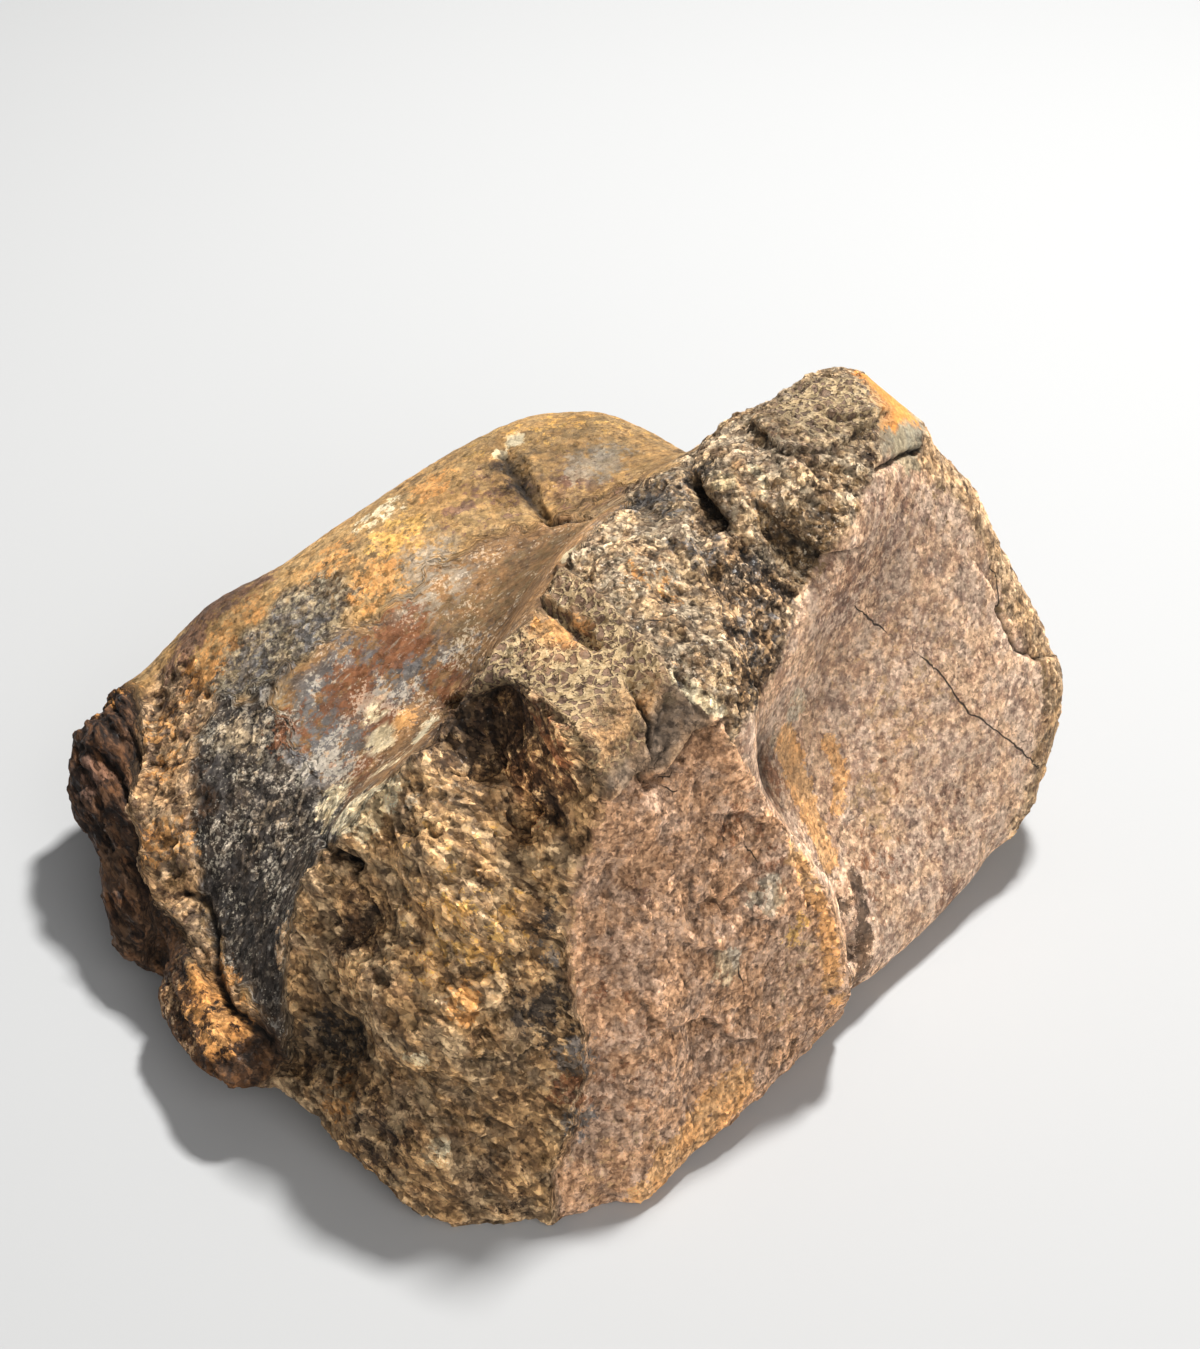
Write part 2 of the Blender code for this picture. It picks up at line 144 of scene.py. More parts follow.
# Every kind of surface has an outline in the photograph; a later one covers an earlier one.
SURFACES = {
    "roll": [(60, 340), (1100, 340), (1100, 1260), (60, 1260)],
    "flank": [(330, 560), (352, 585), (344, 630), (318, 652), (290, 672), (262, 700), (225, 706), (196, 700),
              (214, 660), (250, 622), (290, 590)],
    "saddle": [(720, 430), (635, 486), (590, 508), (540, 524), (480, 540), (430, 572), (380, 612), (330, 642),
               (290, 668), (276, 700), (296, 760), (330, 800), (392, 838), (560, 680), (660, 560)],
    "dark_saddle": [(290, 668), (250, 690), (205, 706), (176, 760), (176, 830), (186, 880), (202, 920),
                    (226, 966), (250, 1012), (270, 1070), (320, 1080), (300, 950), (320, 890), (360, 838),
                    (372, 788), (330, 790), (296, 760), (276, 700)],
    "rough": [(280, 945), (292, 890), (330, 838), (372, 788), (430, 740), (461, 695), (530, 617), (564, 571),
              (574, 556), (624, 502), (635, 486), (679, 462), (689, 452), (1100, 440), (1100, 1260), (60, 1260),
              (60, 1110), (288, 1062), (284, 1000)],
    "lip": [(134, 700), (150, 684), (186, 650), (214, 700), (194, 740), (188, 790), (190, 850), (200, 890),
            (215, 940), (238, 992), (262, 1022), (240, 1010), (211, 985), (190, 946), (168, 916), (148, 886),
            (140, 840), (130, 800), (138, 755)],
    "left_end": [(60, 700), (110, 670), (134, 690), (141, 710), (138, 755), (130, 800), (140, 840),
                 (148, 886), (168, 916), (168, 950), (150, 980), (100, 950), (60, 850)],
    "flange": [(150, 900), (168, 916), (190, 946), (211, 985), (240, 1010), (262, 1024), (290, 1062),
               (250, 1100), (220, 1110), (150, 1040), (146, 975)],
    "hollow": [(461, 697), (480, 678), (503, 674), (526, 694), (557, 724), (580, 743), (572, 790), (564, 828),
               (534, 824), (503, 782), (476, 743)],
    "block": [(461, 695), (530, 617), (541, 606), (564, 571), (595, 590), (626, 625), (652, 644), (668, 667),
              (673, 690), (660, 700), (640, 740), (600, 780), (588, 752), (560, 713), (534, 690), (503, 678)],
    "facet": [(668, 667), (700, 690), (717, 713), (706, 728), (683, 739), (668, 766), (643, 774), (601, 799),
              (599, 780), (640, 740), (660, 700)],
    "band": [(568, 552), (578, 543), (624, 502), (631, 489), (682, 462), (700, 440), (780, 380), (834, 355),
             (884, 370), (882, 376), (885, 418), (886, 456), (851, 529), (828, 560), (802, 594), (786, 651),
             (763, 697), (744, 732), (736, 747), (717, 713), (673, 680), (652, 644), (626, 625), (595, 590),
             (566, 569)],
    "dark_band": [(700, 520), (730, 535), (765, 565), (800, 585), (802, 594), (786, 651), (763, 697), (744, 732),
                  (737, 713), (733, 674), (727, 636), (717, 594), (704, 556)],
    "cap": [(868, 360), (940, 370), (940, 450), (905, 452), (884, 460), (880, 418), (866, 390)],
    "bowl": [(905, 452), (945, 440), (1080, 560), (1080, 760), (1010, 900), (930, 1020), (846, 1010),
             (848, 951), (840, 915), (829, 888), (806, 861), (787, 838), (767, 807), (754, 780), (736, 749),
             (744, 732), (763, 697), (786, 651), (802, 594), (828, 560), (851, 529), (886, 456)],
    "rim": [(914, 440), (940, 430), (1010, 500), (1060, 600), (1090, 690), (1080, 790), (1030, 880), (1008, 836),
            (1024, 800), (1038, 750), (1046, 700), (1040, 668), (1020, 630), (1002, 590), (984, 545), (962, 505),
            (936, 484), (918, 462)],
    "red": [(736, 749), (754, 780), (767, 807), (787, 838), (806, 861), (829, 888), (840, 915), (848, 951),
            (848, 1010), (820, 1040), (757, 1110), (640, 1230), (560, 1240), (553, 1171), (572, 1133),
            (584, 1094), (584, 1033), (568, 980), (567, 941), (569, 903), (576, 865), (591, 827), (601, 799),
            (643, 774), (668, 766), (683, 739), (706, 728), (717, 713)],
}

# The side that the photograph doesn't show: places in mm on it, each with the kind of surface around it.
HIDDEN_SURFACES = {
    "bowl": [(76, 30, 20), (78, 10, 12), (60, 45, 30)],
    "roll": [(-60, 36, 24), (-40, 46, 30), (-15, 54, 38), (5, 55, 40), (-50, 45, 16), (-20, 56, 22)],
    "rough": [(28, 46, 48), (44, 42, 58), (-30, 48, 10), (0, 52, 12), (30, 50, 18), (60, 42, 14), (0, 5, 0),
              (-30, 0, 3), (30, 10, 0), (-50, 5, 8), (55, 10, 2), (0, -30, 2)],
}
SMOOTH_SURFACES = ("roll", "flank", "saddle", "dark_saddle", "cap", "bowl")

# How far in mm a surface's border wanders where two of them blend into each other, how steeply one gives way to
# the other there per mm, and how ragged every border is in pixels. Waves have a height, a span in mm and a seed.
WANDERING = {"flank": 4.0, "saddle": 4.0, "dark_saddle": 4.5, "lip": 1.6, "left_end": 0.8, "dark_band": 2.0,
             "rim": 1.0}
WANDERING_WAVES = [(0.6, 5.0, 41), (0.4, 2.2, 42)]
EDGE_STEEPNESS = 5.0
EDGE_RAGGEDNESS = 5.0
RAGGED_WAVES = [(1.0, 3.0, 11), (0.6, 1.3, 31)]

# A point is in sight if the first thing on its line of sight is no farther in front of it than this, in m. One in
# so many points in sight passes its kind of surface on to the hidden points nearest to it.
SIGHT_SLACK = 0.0009
SAMPLE_STEP = 9
HIDDEN_BLEND = 0.6
HIDDEN_BLEND_ROUNDS = 12


def can_be_seen(tree, points):
    """True for the points in mm that can be seen from the camera's place."""
    seen = np.empty(len(points), bool)
    eye = Vector(EYE)
    for index, point in enumerate(points * MM):
        line = Vector(point) - eye
        place, _, _, gap = tree.ray_cast(eye, line.normalized())
        seen[index] = place is None or gap > line.length - SIGHT_SLACK
    return seen


def pixels_of(points):
    """Pixel of the photograph in which each point in mm lies, and the size of that pixel there in mm."""
    offset = points * MM - EYE
    depth = offset @ ahead
    column = IMAGE_WIDTH / 2 + FOCAL_PIXELS * (offset @ across) / depth
    row = IMAGE_HEIGHT / 2 - FOCAL_PIXELS * (offset @ upward) / depth
    return np.stack([column, row], axis=1), depth / FOCAL_PIXELS / MM


def within(pixels, outline):
    """Distance in pixels from each place to an outline, positive inside it."""
    corners = np.array(outline, float)
    nearest = np.full(len(pixels), np.inf)
    inside = np.zeros(len(pixels), bool)
    for start, end in zip(corners, np.roll(corners, -1, axis=0)):
        run = end - start
        offset = pixels - start
        share = np.clip(offset @ run / (run @ run), 0.0, 1.0)
        nearest = np.minimum(nearest, np.hypot(*(offset - share[:, None] * run).T))
        crosses = (start[1] > pixels[:, 1]) != (end[1] > pixels[:, 1])
        if run[1] != 0:
            inside ^= crosses & (pixels[:, 0] < start[0] + (pixels[:, 1] - start[1]) * run[0] / run[1])
    return np.where(inside, nearest, -nearest)


def scattered(cells, seed):
    """Numbers from 0 to 1, the same each time for a whole-number cell and seed."""
    x, y, z = (cells[..., axis].astype(np.uint32) for axis in range(3))
    mix = x * np.uint32(0x9E3779B1) ^ y * np.uint32(0x85EBCA77) ^ z * np.uint32(0xC2B2AE3D)
    mix ^= np.uint32(seed * 2654435761 % 2 ** 32)
    mix = (mix ^ (mix >> np.uint32(15))) * np.uint32(0x2C1B3C6D)
    mix = (mix ^ (mix >> np.uint32(12))) * np.uint32(0x297A2D39)
    return (mix ^ (mix >> np.uint32(15))).astype(float) / 2 ** 32


def scattered_places(cells, seed):
    """Three such numbers for each cell."""
    return np.stack([scattered(cells, seed + turn) for turn in (0, 101, 202)], axis=1)


def ripples(points, span, seed):
    """Smooth noise from about -1 to 1 with waves of this span."""
    place = points / span
    cell = np.floor(place).astype(np.int64)
    inner = place - cell
    blend = inner ** 3 * (inner * (inner * 6 - 15) + 10)
    total = np.zeros(len(points))
    for corner in np.ndindex(2, 2, 2):
        slopes = scattered_places(cell + corner, seed) - 0.5
        share = np.prod(np.where(corner, blend, 1 - blend), axis=1)
        total += share * np.sum(slopes * (inner - corner), axis=1)
    return total * 2.6


def waves(points, *sizes):
    """Such waves laid over each other, each given by its height, span and seed."""
    return sum(height * ripples(points, span, seed) for height, span, seed in sizes)


def straying(points, sizes, directions=3):
    """Shifts in so many directions by waves laid over each other, with seeds of their own in each direction."""
    return np.stack([waves(points, *[(height, span, seed + axis) for height, span, seed in sizes])
                     for axis in range(directions)], axis=1)


def bumpy(points, span, seed):
    """Round lumps with sharp valleys between them, from about -0.5 to 0.9."""
    return np.minimum(np.abs(ripples(points, span, seed)) * 1.8, 1.4) - 0.45


def pits(points, span, seed, share, radius):
    """Round pits around this share of scattered centres, with their radius and depth in spans."""
    place = points / span
    cell = np.floor(place).astype(np.int64)
    nearest = np.full(len(points), np.inf)
    number = np.zeros(len(points))
    for step in np.ndindex(3, 3, 3):
        there = cell + np.array(step) - 1
        gap = np.linalg.norm(place - (there + scattered_places(there, seed)), axis=1)
        number = np.where(gap < nearest, scattered(there, seed + 303), number)
        nearest = np.minimum(nearest, gap)
    return (number < share) * np.clip(radius - nearest, 0, 1)


def chips(points, span, seed):
    """Facets as on broken stone, each with its own height and tilt, from about -1 to 1."""
    place = points / span
    cell = np.floor(place).astype(np.int64)
    nearest = np.full(len(points), np.inf)
    offset = np.zeros_like(place)
    owner = np.zeros_like(cell)
    for step in np.ndindex(3, 3, 3):
        there = cell + np.array(step) - 1
        away = place - there - scattered_places(there, seed)
        gap = np.sum(away * away, axis=1)
        nearer = gap < nearest
        nearest[nearer] = gap[nearer]
        offset[nearer] = away[nearer]
        owner[nearer] = there[nearer]
    tilt = scattered_places(owner, seed + 303) - 0.5
    return 1.4 * (scattered(owner, seed + 606) - 0.5) + 1.6 * np.sum(tilt * offset, axis=1)


def stretched(points, along, factor):
    """Points squeezed along a direction, so that noise on them is drawn out along it."""
    along = np.array(along, float) / np.linalg.norm(along)
    return points - np.outer(points @ along, along) * (1 - 1 / factor)


def vertex_values(mesh, collection, name, width):
    """A property of every vertex as rows of numbers."""
    values = np.empty(len(getattr(mesh, collection)) * width, np.float32)
    getattr(mesh, collection).foreach_get(name, values)
    return values.reshape(-1, width).astype(float)


def mesh_edges(mesh):
    """The two vertices of every edge."""
    ends = np.empty(len(mesh.edges) * 2, np.int32)
    mesh.edges.foreach_get("vertices", ends)
    return ends.reshape(-1, 2)


def tree_of(mesh):
    """A tree of the mesh's faces that lines of sight can be cast at."""
    return BVHTree.FromPolygons([vert.co for vert in mesh.vertices], [face.vertices for face in mesh.polygons])


def relaxed(values, ends, weights, rounds):
    """Rows of values after so many rounds of moving towards their neighbours' mean, each by its own weight."""
    first, second = ends.T
    count = len(values)
    links = np.bincount(first, minlength=count) + np.bincount(second, minlength=count)
    for _ in range(rounds):
        mean = np.empty_like(values)
        for axis in range(values.shape[1]):
            total = np.bincount(first, values[second, axis], count)
            mean[:, axis] = (total + np.bincount(second, values[first, axis], count)) / links
        values = values + weights[:, None] * (mean - values)
    return values


def changed(mesh, setting, groups=None):
    """A new mesh after one modifier, whose kind and values are given, with weights of vertices by group."""
    carrier = bpy.data.objects.new("carrier", mesh)
    bpy.context.scene.collection.objects.link(carrier)
    for name, weights in (groups or {}).items():
        group = carrier.vertex_groups.new(name=name)
        group.add([int(index) for index in np.flatnonzero(weights > 0.5)], 1.0, "REPLACE")
    modifier = carrier.modifiers.new("change", setting.pop("type"))
    for name, value in setting.items():
        setattr(modifier, name, value)
    result = bpy.data.meshes.new_from_object(carrier.evaluated_get(bpy.context.evaluated_depsgraph_get()))
    bpy.data.objects.remove(carrier)
    return result


def surface_shares(points, ends, tree):
    """Share of each kind of surface at each point, from the outlines where it's seen and from seeds elsewhere."""
    seen = can_be_seen(tree, points)
    pixels, pixel_size = pixels_of(points)
    pixels = (pixels + EDGE_RAGGEDNESS * straying(points, RAGGED_WAVES, 2))[seen]
    kinds = list(SURFACES)
    part = np.zeros((len(pixels), len(kinds)))
    spread = waves(points[seen], *WANDERING_WAVES)
    for column, (kind, outline) in enumerate(SURFACES.items()):
        depth = within(pixels, outline) * pixel_size[seen] + WANDERING.get(kind, 0.0) * spread
        cover = 1.0 / (1.0 + np.exp(np.clip(-depth * EDGE_STEEPNESS, -30, 30)))
        part *= (1 - cover)[:, None]
        part[:, column] += cover
    shares = np.zeros((len(points), len(kinds)))
    shares[seen] = part / part.sum(axis=1, keepdims=True)
    samples = np.flatnonzero(seen)[::SAMPLE_STEP]
    seeds = [(seed, kinds.index(kind)) for kind, places in HIDDEN_SURFACES.items() for seed in places]
    finder = KDTree(len(samples) + len(seeds))
    for index in samples:
        finder.insert(points[index], index)
    for number, (seed, _) in enumerate(seeds):
        finder.insert(seed, len(points) + number)
    finder.balance()
    for index in np.flatnonzero(~seen):
        _, found, _ = finder.find(points[index])
        if found < len(points):
            shares[index] = shares[found]
        else:
            shares[index] = 0
            shares[index, seeds[found - len(points)][1]] = 1
    return relaxed(shares, ends, np.where(seen, 0.0, HIDDEN_BLEND), HIDDEN_BLEND_ROUNDS), seen


MERGE_DISTANCE = 1e-6

shell = bmesh.new()
shell.from_mesh(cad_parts["toe_bone"].data)
bmesh.ops.remove_doubles(shell, verts=shell.verts, dist=MERGE_DISTANCE)
solid = bpy.data.meshes.new("solid")
shell.to_mesh(solid)
shell.free()
solid_tree = tree_of(solid)
skin = changed(solid, {"type": "REMESH", "mode": "VOXEL", "voxel_size": SKIN_SPACING * MM})
ends = mesh_edges(skin)
points = vertex_values(skin, "vertices", "co", 3) / MM
shares, seen = surface_shares(points, ends, solid_tree)
kinds = list(SURFACES)
smooth = shares[:, [kinds.index(kind) for kind in SMOOTH_SURFACES]].sum(axis=1)
points = relaxed(points, ends, SMOOTHING * smooth ** 2, SMOOTH_ROUNDS)
points = relaxed(points, ends, np.full(len(points), SMOOTHING), ROUGH_ROUNDS)
skin.vertices.foreach_set("co", (points * MM).astype(np.float32).ravel())
for kind, share in zip(kinds + ["in_sight"], [*shares.T, seen.astype(float)]):
    skin.attributes.new(kind, "FLOAT", "POINT").data.foreach_set("value", share.astype(np.float32))
skin = changed(skin, {"type": "SUBSURF", "levels": 1, "render_levels": 1})

# The bone's relief: lumps, grains, pits, layers and cracks, each kind of surface with its own.
base = vertex_values(skin, "vertices", "co", 3) / MM
normals = vertex_values(skin, "vertex_normals", "vector", 3)
base_tree = tree_of(skin)


def own_values(mesh, name):
    """One number of each vertex, kept under a name."""
    values = np.empty(len(mesh.vertices), np.float32)
    mesh.attributes[name].data.foreach_get("value", values)
    return values.astype(float)


shares = {kind: own_values(skin, kind) for kind in kinds}
pixels, pixel_size = pixels_of(base)
MIDDLE_PIXEL = np.array([600.0, 800.0])
STEP_INWARDS = 0.01


def pinned(marks):
    """Places in mm on the skin that these pixels show; one just past its edge moves towards its middle."""
    places = []
    for mark in marks:
        place = None
        mark = np.array(mark, float)
        while place is None:
            place = base_tree.ray_cast(Vector(EYE), sight(*mark))[0]
            mark += (MIDDLE_PIXEL - mark) * STEP_INWARDS
        places.append(place)
    return np.array(places) / MM


def photo_direction(start, end):
    """Direction on the skin from one pixel's place to another's."""
    first, last = pinned([start, end])
    return (last - first) / np.linalg.norm(last - first)


def beside(points, marks, reach):
    """Indices of the points within reach of a line of pixels, their distance to it in mm, signed by side."""
    line = pinned(marks)
    low = line.min(axis=0) - reach
    high = line.max(axis=0) + reach
    near = np.flatnonzero(np.all((points > low) & (points < high), axis=1))
    close = points[near]
    pixel, _ = pixels_of(close)
    gap = np.full(len(near), np.inf)
    side = np.zeros(len(near))
    for (start, end), (first, last) in zip(zip(line[:-1], line[1:]), zip(marks[:-1], marks[1:])):
        run = end - start
        offset = close - start
        share = np.clip(offset @ run / (run @ run), 0.0, 1.0)
        here = np.linalg.norm(offset - share[:, None] * run, axis=1)
        flat = np.array(last, float) - np.array(first, float)
        turn = flat[0] * (pixel[:, 1] - first[1]) - flat[1] * (pixel[:, 0] - first[0])
        nearer = here < gap
        side = np.where(nearer, np.where(turn > 0, 1.0, -1.0), side)
        gap = np.minimum(gap, here)
    kept = gap < reach
    return near[kept], gap[kept], side[kept]


# Flats: broken faces that are nearly plane, each an outline in the photograph. They are pressed this far towards
# their plane, less within so many pixels of their edge.
FLATS = [
    [(465, 694), (503, 675), (534, 689), (562, 712), (592, 746), (597, 757), (647, 732), (647, 724), (631, 694),
     (623, 668), (594, 643), (562, 617), (541, 606), (500, 650)],
    [(465, 697), (503, 678), (534, 693), (560, 716), (590, 749), (599, 790), (575, 806), (535, 780), (500, 750),
     (475, 722)],
    [(597, 758), (647, 733), (649, 762), (615, 793), (601, 797)],
    [(655, 725), (674, 677), (708, 717), (690, 733), (668, 768), (655, 776), (650, 760)],
    [(541, 604), (564, 571), (595, 590), (626, 625), (652, 644), (668, 667), (672, 680), (655, 725), (647, 720),
     (631, 694), (623, 668), (594, 643), (562, 617)],
    [(545, 520), (543, 500), (560, 488), (600, 492), (610, 505), (594, 517), (568, 521)],
]
FLAT_SHARE = 0.85
FLAT_EDGE = 3.0


def flattened(points, pixels, outline):
    """Points, with those inside the outline and in sight moved close to one plane."""
    depth = within(pixels, outline)
    inside = (depth > 0) & (own_values(skin, "in_sight") > 0.5)
    middle = points[inside].mean(axis=0)
    _, _, axes = np.linalg.svd(points[inside] - middle, full_matrices=False)
    share = FLAT_SHARE * np.clip(depth[inside] / FLAT_EDGE, 0, 1)
    moved = points.copy()
    moved[inside] -= ((points[inside] - middle) @ axes[2] * share)[:, None] * axes[2]
    return moved


for outline in FLATS:
    base = flattened(base, pixels, outline)

# Directions along which grain, streaks and layers run.
GRAIN_RUN = photo_direction((420, 900), (500, 960))
RED_RUN = photo_direction((650, 850), (660, 1100))
SADDLE_RUN = photo_direction((560, 560), (380, 760))
DARK_RUN = photo_direction((260, 800), (240, 920))
BAND_RUN = photo_direction((730, 580), (790, 640))
BOWL_RUN = photo_direction((880, 520), (810, 660))
LEFT_RUN = photo_direction((90, 740), (125, 800))
FLANGE_RUN = photo_direction((190, 980), (235, 1060))
WALL_RUN = photo_direction((490, 705), (560, 820))
FACET_RUN = photo_direction((610, 785), (665, 745))

RISER_STEEPNESS = 3.0
PIT_DEPTH = 1.8


def terraces(height, steps):
    """Flat treads with short risers between them in place of slopes."""
    level = height * steps
    tread = np.floor(level)
    rise = np.clip((level - tread - 0.5) * RISER_STEEPNESS + 0.5, 0, 1)
    return (tread + rise * rise * (3 - 2 * rise)) / steps


def kind_relief(kind, points):
    """Height of one kind of surface's own relief in mm."""
    if kind == "rough":
        drawn = stretched(points, GRAIN_RUN, 2.4)
        run = waves(drawn, (0.6, 5.0, 2), (0.5, 2.4, 3))
        return (0.7 * ripples(points, 13.0, 1) + 0.8 * terraces(ripples(drawn, 10.0, 66), 2)
                + 1.4 * terraces(run, 3) + 0.4 * chips(drawn, 2.6, 51) + 0.25 * chips(drawn, 1.4, 4)
                + 0.1 * ripples(points, 1.0, 52) - PIT_DEPTH * pits(drawn, 3.4, 50, 0.2, 0.4))
    if kind == "red":
        drawn = stretched(points, RED_RUN, 2.6)
        run = waves(drawn, (0.6, 8.0, 5), (0.4, 3.5, 6))
        return (0.4 * ripples(points, 14.0, 53) + 0.55 * terraces(run, 2) + 0.2 * chips(drawn, 1.6, 7)
                + 0.12 * ripples(points, 0.9, 8))
    if kind in ("band", "dark_band"):
        drawn = stretched(points, BAND_RUN, 2.6)
        run = waves(drawn, (0.6, 6.0, 9), (0.4, 2.8, 56))
        scale = 1.5 if kind == "dark_band" else 1.0
        return scale * (1.1 * terraces(run, 3) + 0.22 * chips(drawn, 1.8, 10)) + 0.2 * chips(points, 1.0, 11)
    if kind == "block":
        return 0.35 * chips(points, 6.0, 14) + 0.25 * ripples(points, 2.2, 15) + 0.12 * ripples(points, 0.9, 54)
    if kind == "hollow":
        drawn = stretched(points, WALL_RUN, 3.5)
        run = waves(drawn, (0.6, 3.0, 16), (0.4, 1.6, 57))
        return 1.2 * terraces(run, 3) + 0.3 * chips(drawn, 1.2, 17) + 0.15 * ripples(points, 0.9, 18)
    if kind == "facet":
        return 0.12 * ripples(stretched(points, FACET_RUN, 3.0), 1.6, 19) + 0.08 * ripples(points, 0.9, 20)
    if kind in ("roll", "flank"):
        rough = 1.6 if kind == "flank" else 1.0
        return waves(points, (0.3, 9.0, 21), (0.16 * rough, 2.2, 22), (0.1 * rough, 1.0, 23))
    if kind == "saddle":
        return waves(stretched(points, SADDLE_RUN, 3.0), (0.12, 3.0, 24), (0.08, 1.2, 25))
    if kind == "dark_saddle":
        drawn = stretched(points, DARK_RUN, 2.5)
        return 0.3 * ripples(drawn, 3.0, 26) + 0.25 * chips(drawn, 1.5, 27) + 0.15 * ripples(points, 0.9, 55)
    if kind == "lip":
        return (0.5 * chips(points, 4.0, 29) + 0.15 * chips(points, 1.5, 30)
                - PIT_DEPTH * pits(points, 2.6, 28, 0.5, 0.45))
    if kind == "left_end":
        layers = stretched(points, LEFT_RUN, 5.0)
        run = waves(layers, (0.6, 2.6, 31), (0.5, 1.5, 32))
        return 0.5 * ripples(points, 7.0, 33) + 1.5 * terraces(run, 3) + 0.15 * ripples(points, 0.9, 58)
    if kind == "flange":
        drawn = stretched(points, FLANGE_RUN, 3.0)
        run = waves(drawn, (0.6, 3.6, 34), (0.4, 1.8, 35))
        return 0.5 * ripples(points, 9.0, 36) + 1.0 * terraces(run, 3) + 0.15 * ripples(points, 0.9, 59)
    if kind == "rim":
        return 0.45 * bumpy(points, 3.4, 60) + 0.25 * chips(points, 1.6, 61) + 0.12 * ripples(points, 0.9, 62)
    if kind == "bowl":
        drawn = stretched(points, BOWL_RUN, 2.0)
        return 0.2 * ripples(points, 8.0, 37) + 0.12 * ripples(drawn, 1.8, 38) + 0.09 * ripples(points, 0.9, 39)
    return 0.08 * ripples(points, 2.0, 40)


# Swells and dents: pixel, height and radius in mm.
SWELLS = [
    (490, 702, -2.4, 3.6), (512, 712, -2.0, 3.6), (535, 775, 2.2, 5.0), (560, 790, 1.5, 4.0),
    (505, 765, 1.5, 4.0), (570, 745, 1.2, 3.5), (650, 777, -1.8, 1.5), (365, 922, -1.4, 2.4),
    (341, 1036, -1.6, 3.6), (857, 950, -2.6, 2.6), (862, 990, -1.4, 2.4), (840, 908, -1.2, 2.0),
    (406, 722, 0.9, 2.2), (640, 500, -0.9, 2.6), (815, 545, -1.2, 4.0), (790, 540, -0.8, 3.0),
    (670, 596, -0.7, 1.2), (157, 944, -1.2, 1.8), (205, 800, -0.8, 1.8), (205, 760, -0.8, 1.6),
    (195, 830, -0.8, 1.5), (570, 490, 0.5, 5.0), (215, 610, 0.6, 6.0), (735, 822, -0.6, 1.6),
    (720, 895, -0.5, 2.2), (700, 1030, -0.8, 2.6), (380, 1138, -1.0, 3.0),
]
SWELL_REACH = 2.5

# The lip's edge over the left end and the flange.
FLANGE_EDGE = [(142, 715), (146, 753), (138, 784), (128, 807), (138, 837), (142, 868), (157, 902), (176, 918),
               (188, 937), (207, 952), (215, 975), (230, 998)]

# Ledges: the side right of the drawn line, as seen along it, is the low one. Each has its height and reach in mm.
LEDGES = [
    ([(545, 523), (529, 503), (511, 480), (500, 455)], 0.8, 2.5),
    ([(547, 511), (537, 486), (526, 462)], -0.6, 2.0),
    ([(541, 606), (564, 569), (595, 588), (626, 622), (652, 644), (668, 664), (674, 676)], -1.5, 3.0),
    ([(690, 537), (717, 594), (727, 636), (733, 674), (737, 713)], -1.5, 3.0),
    ([(458, 697), (503, 678), (534, 690), (560, 713), (580, 732), (595, 759), (600, 786)], 1.4, 2.0),
    ([(601, 799), (615, 793), (649, 762)], 1.6, 2.4),
    ([(655, 778), (668, 768), (683, 745), (690, 733), (706, 726)], 1.6, 2.4),
    ([(655, 727), (662, 700), (674, 676)], 0.8, 2.0),
    ([(771, 514), (802, 544), (828, 556), (845, 550)], 1.8, 3.0),
    ([(756, 426), (782, 449), (828, 449), (875, 420)], 1.2, 2.6),
    ([(836, 416), (860, 416), (884, 412)], 1.0, 1.6),
    ([(812, 459), (830, 466), (846, 468)], 0.9, 1.6),
    ([(700, 484), (712, 506), (729, 522)], 1.0, 2.4),
    ([(694, 889), (695, 905), (709, 897), (724, 901), (738, 888)], 1.4, 2.0),
    ([(690, 944), (703, 949), (716, 948)], 1.1, 1.6),
    ([(654, 1014), (664, 1030), (683, 1024), (706, 1016), (721, 1025), (735, 1040), (748, 1037)], 1.3, 2.2),
    ([(728, 813), (744, 812), (757, 820)], 1.2, 1.6),
    ([(755, 917), (764, 921), (774, 919)], 0.9, 1.4),
    ([(736, 751), (754, 782), (760, 794), (768, 814), (785, 833), (805, 853), (820, 873), (830, 888), (836, 900),
      (842, 916), (848, 951), (844, 986), (842, 1006)], -2.0, 3.0),
    ([(777, 831), (795, 863), (807, 904)], -0.5, 1.6),
    ([(977, 567), (994, 590), (1000, 613), (1013, 636), (1021, 651), (1036, 659), (1055, 657)], -0.9, 3.0),
    ([(172, 975), (182, 1010), (200, 1050), (222, 1080)], 0.9, 1.8),
    ([(197, 965), (210, 1005), (226, 1040), (244, 1062)], -0.9, 1.8),
    ([(86, 745), (105, 753), (122, 776), (130, 800)], 1.3, 1.8),
    ([(80, 762), (96, 778), (106, 805), (108, 826)], 1.3, 1.8),
    ([(112, 699), (128, 722), (140, 750)], 1.2, 1.8),
    ([(84, 800), (96, 822), (100, 850)], 1.0, 1.6),
    (FLANGE_EDGE, 1.4, 2.6),
    ([(180, 700), (196, 740), (190, 790), (192, 850), (203, 895)], -0.8, 2.0),
    ([(318, 838), (330, 852), (356, 868)], -1.0, 2.0),
    ([(603, 796), (593, 822), (581, 884), (573, 912), (569, 960), (570, 1000)], 0.8, 2.0),
]

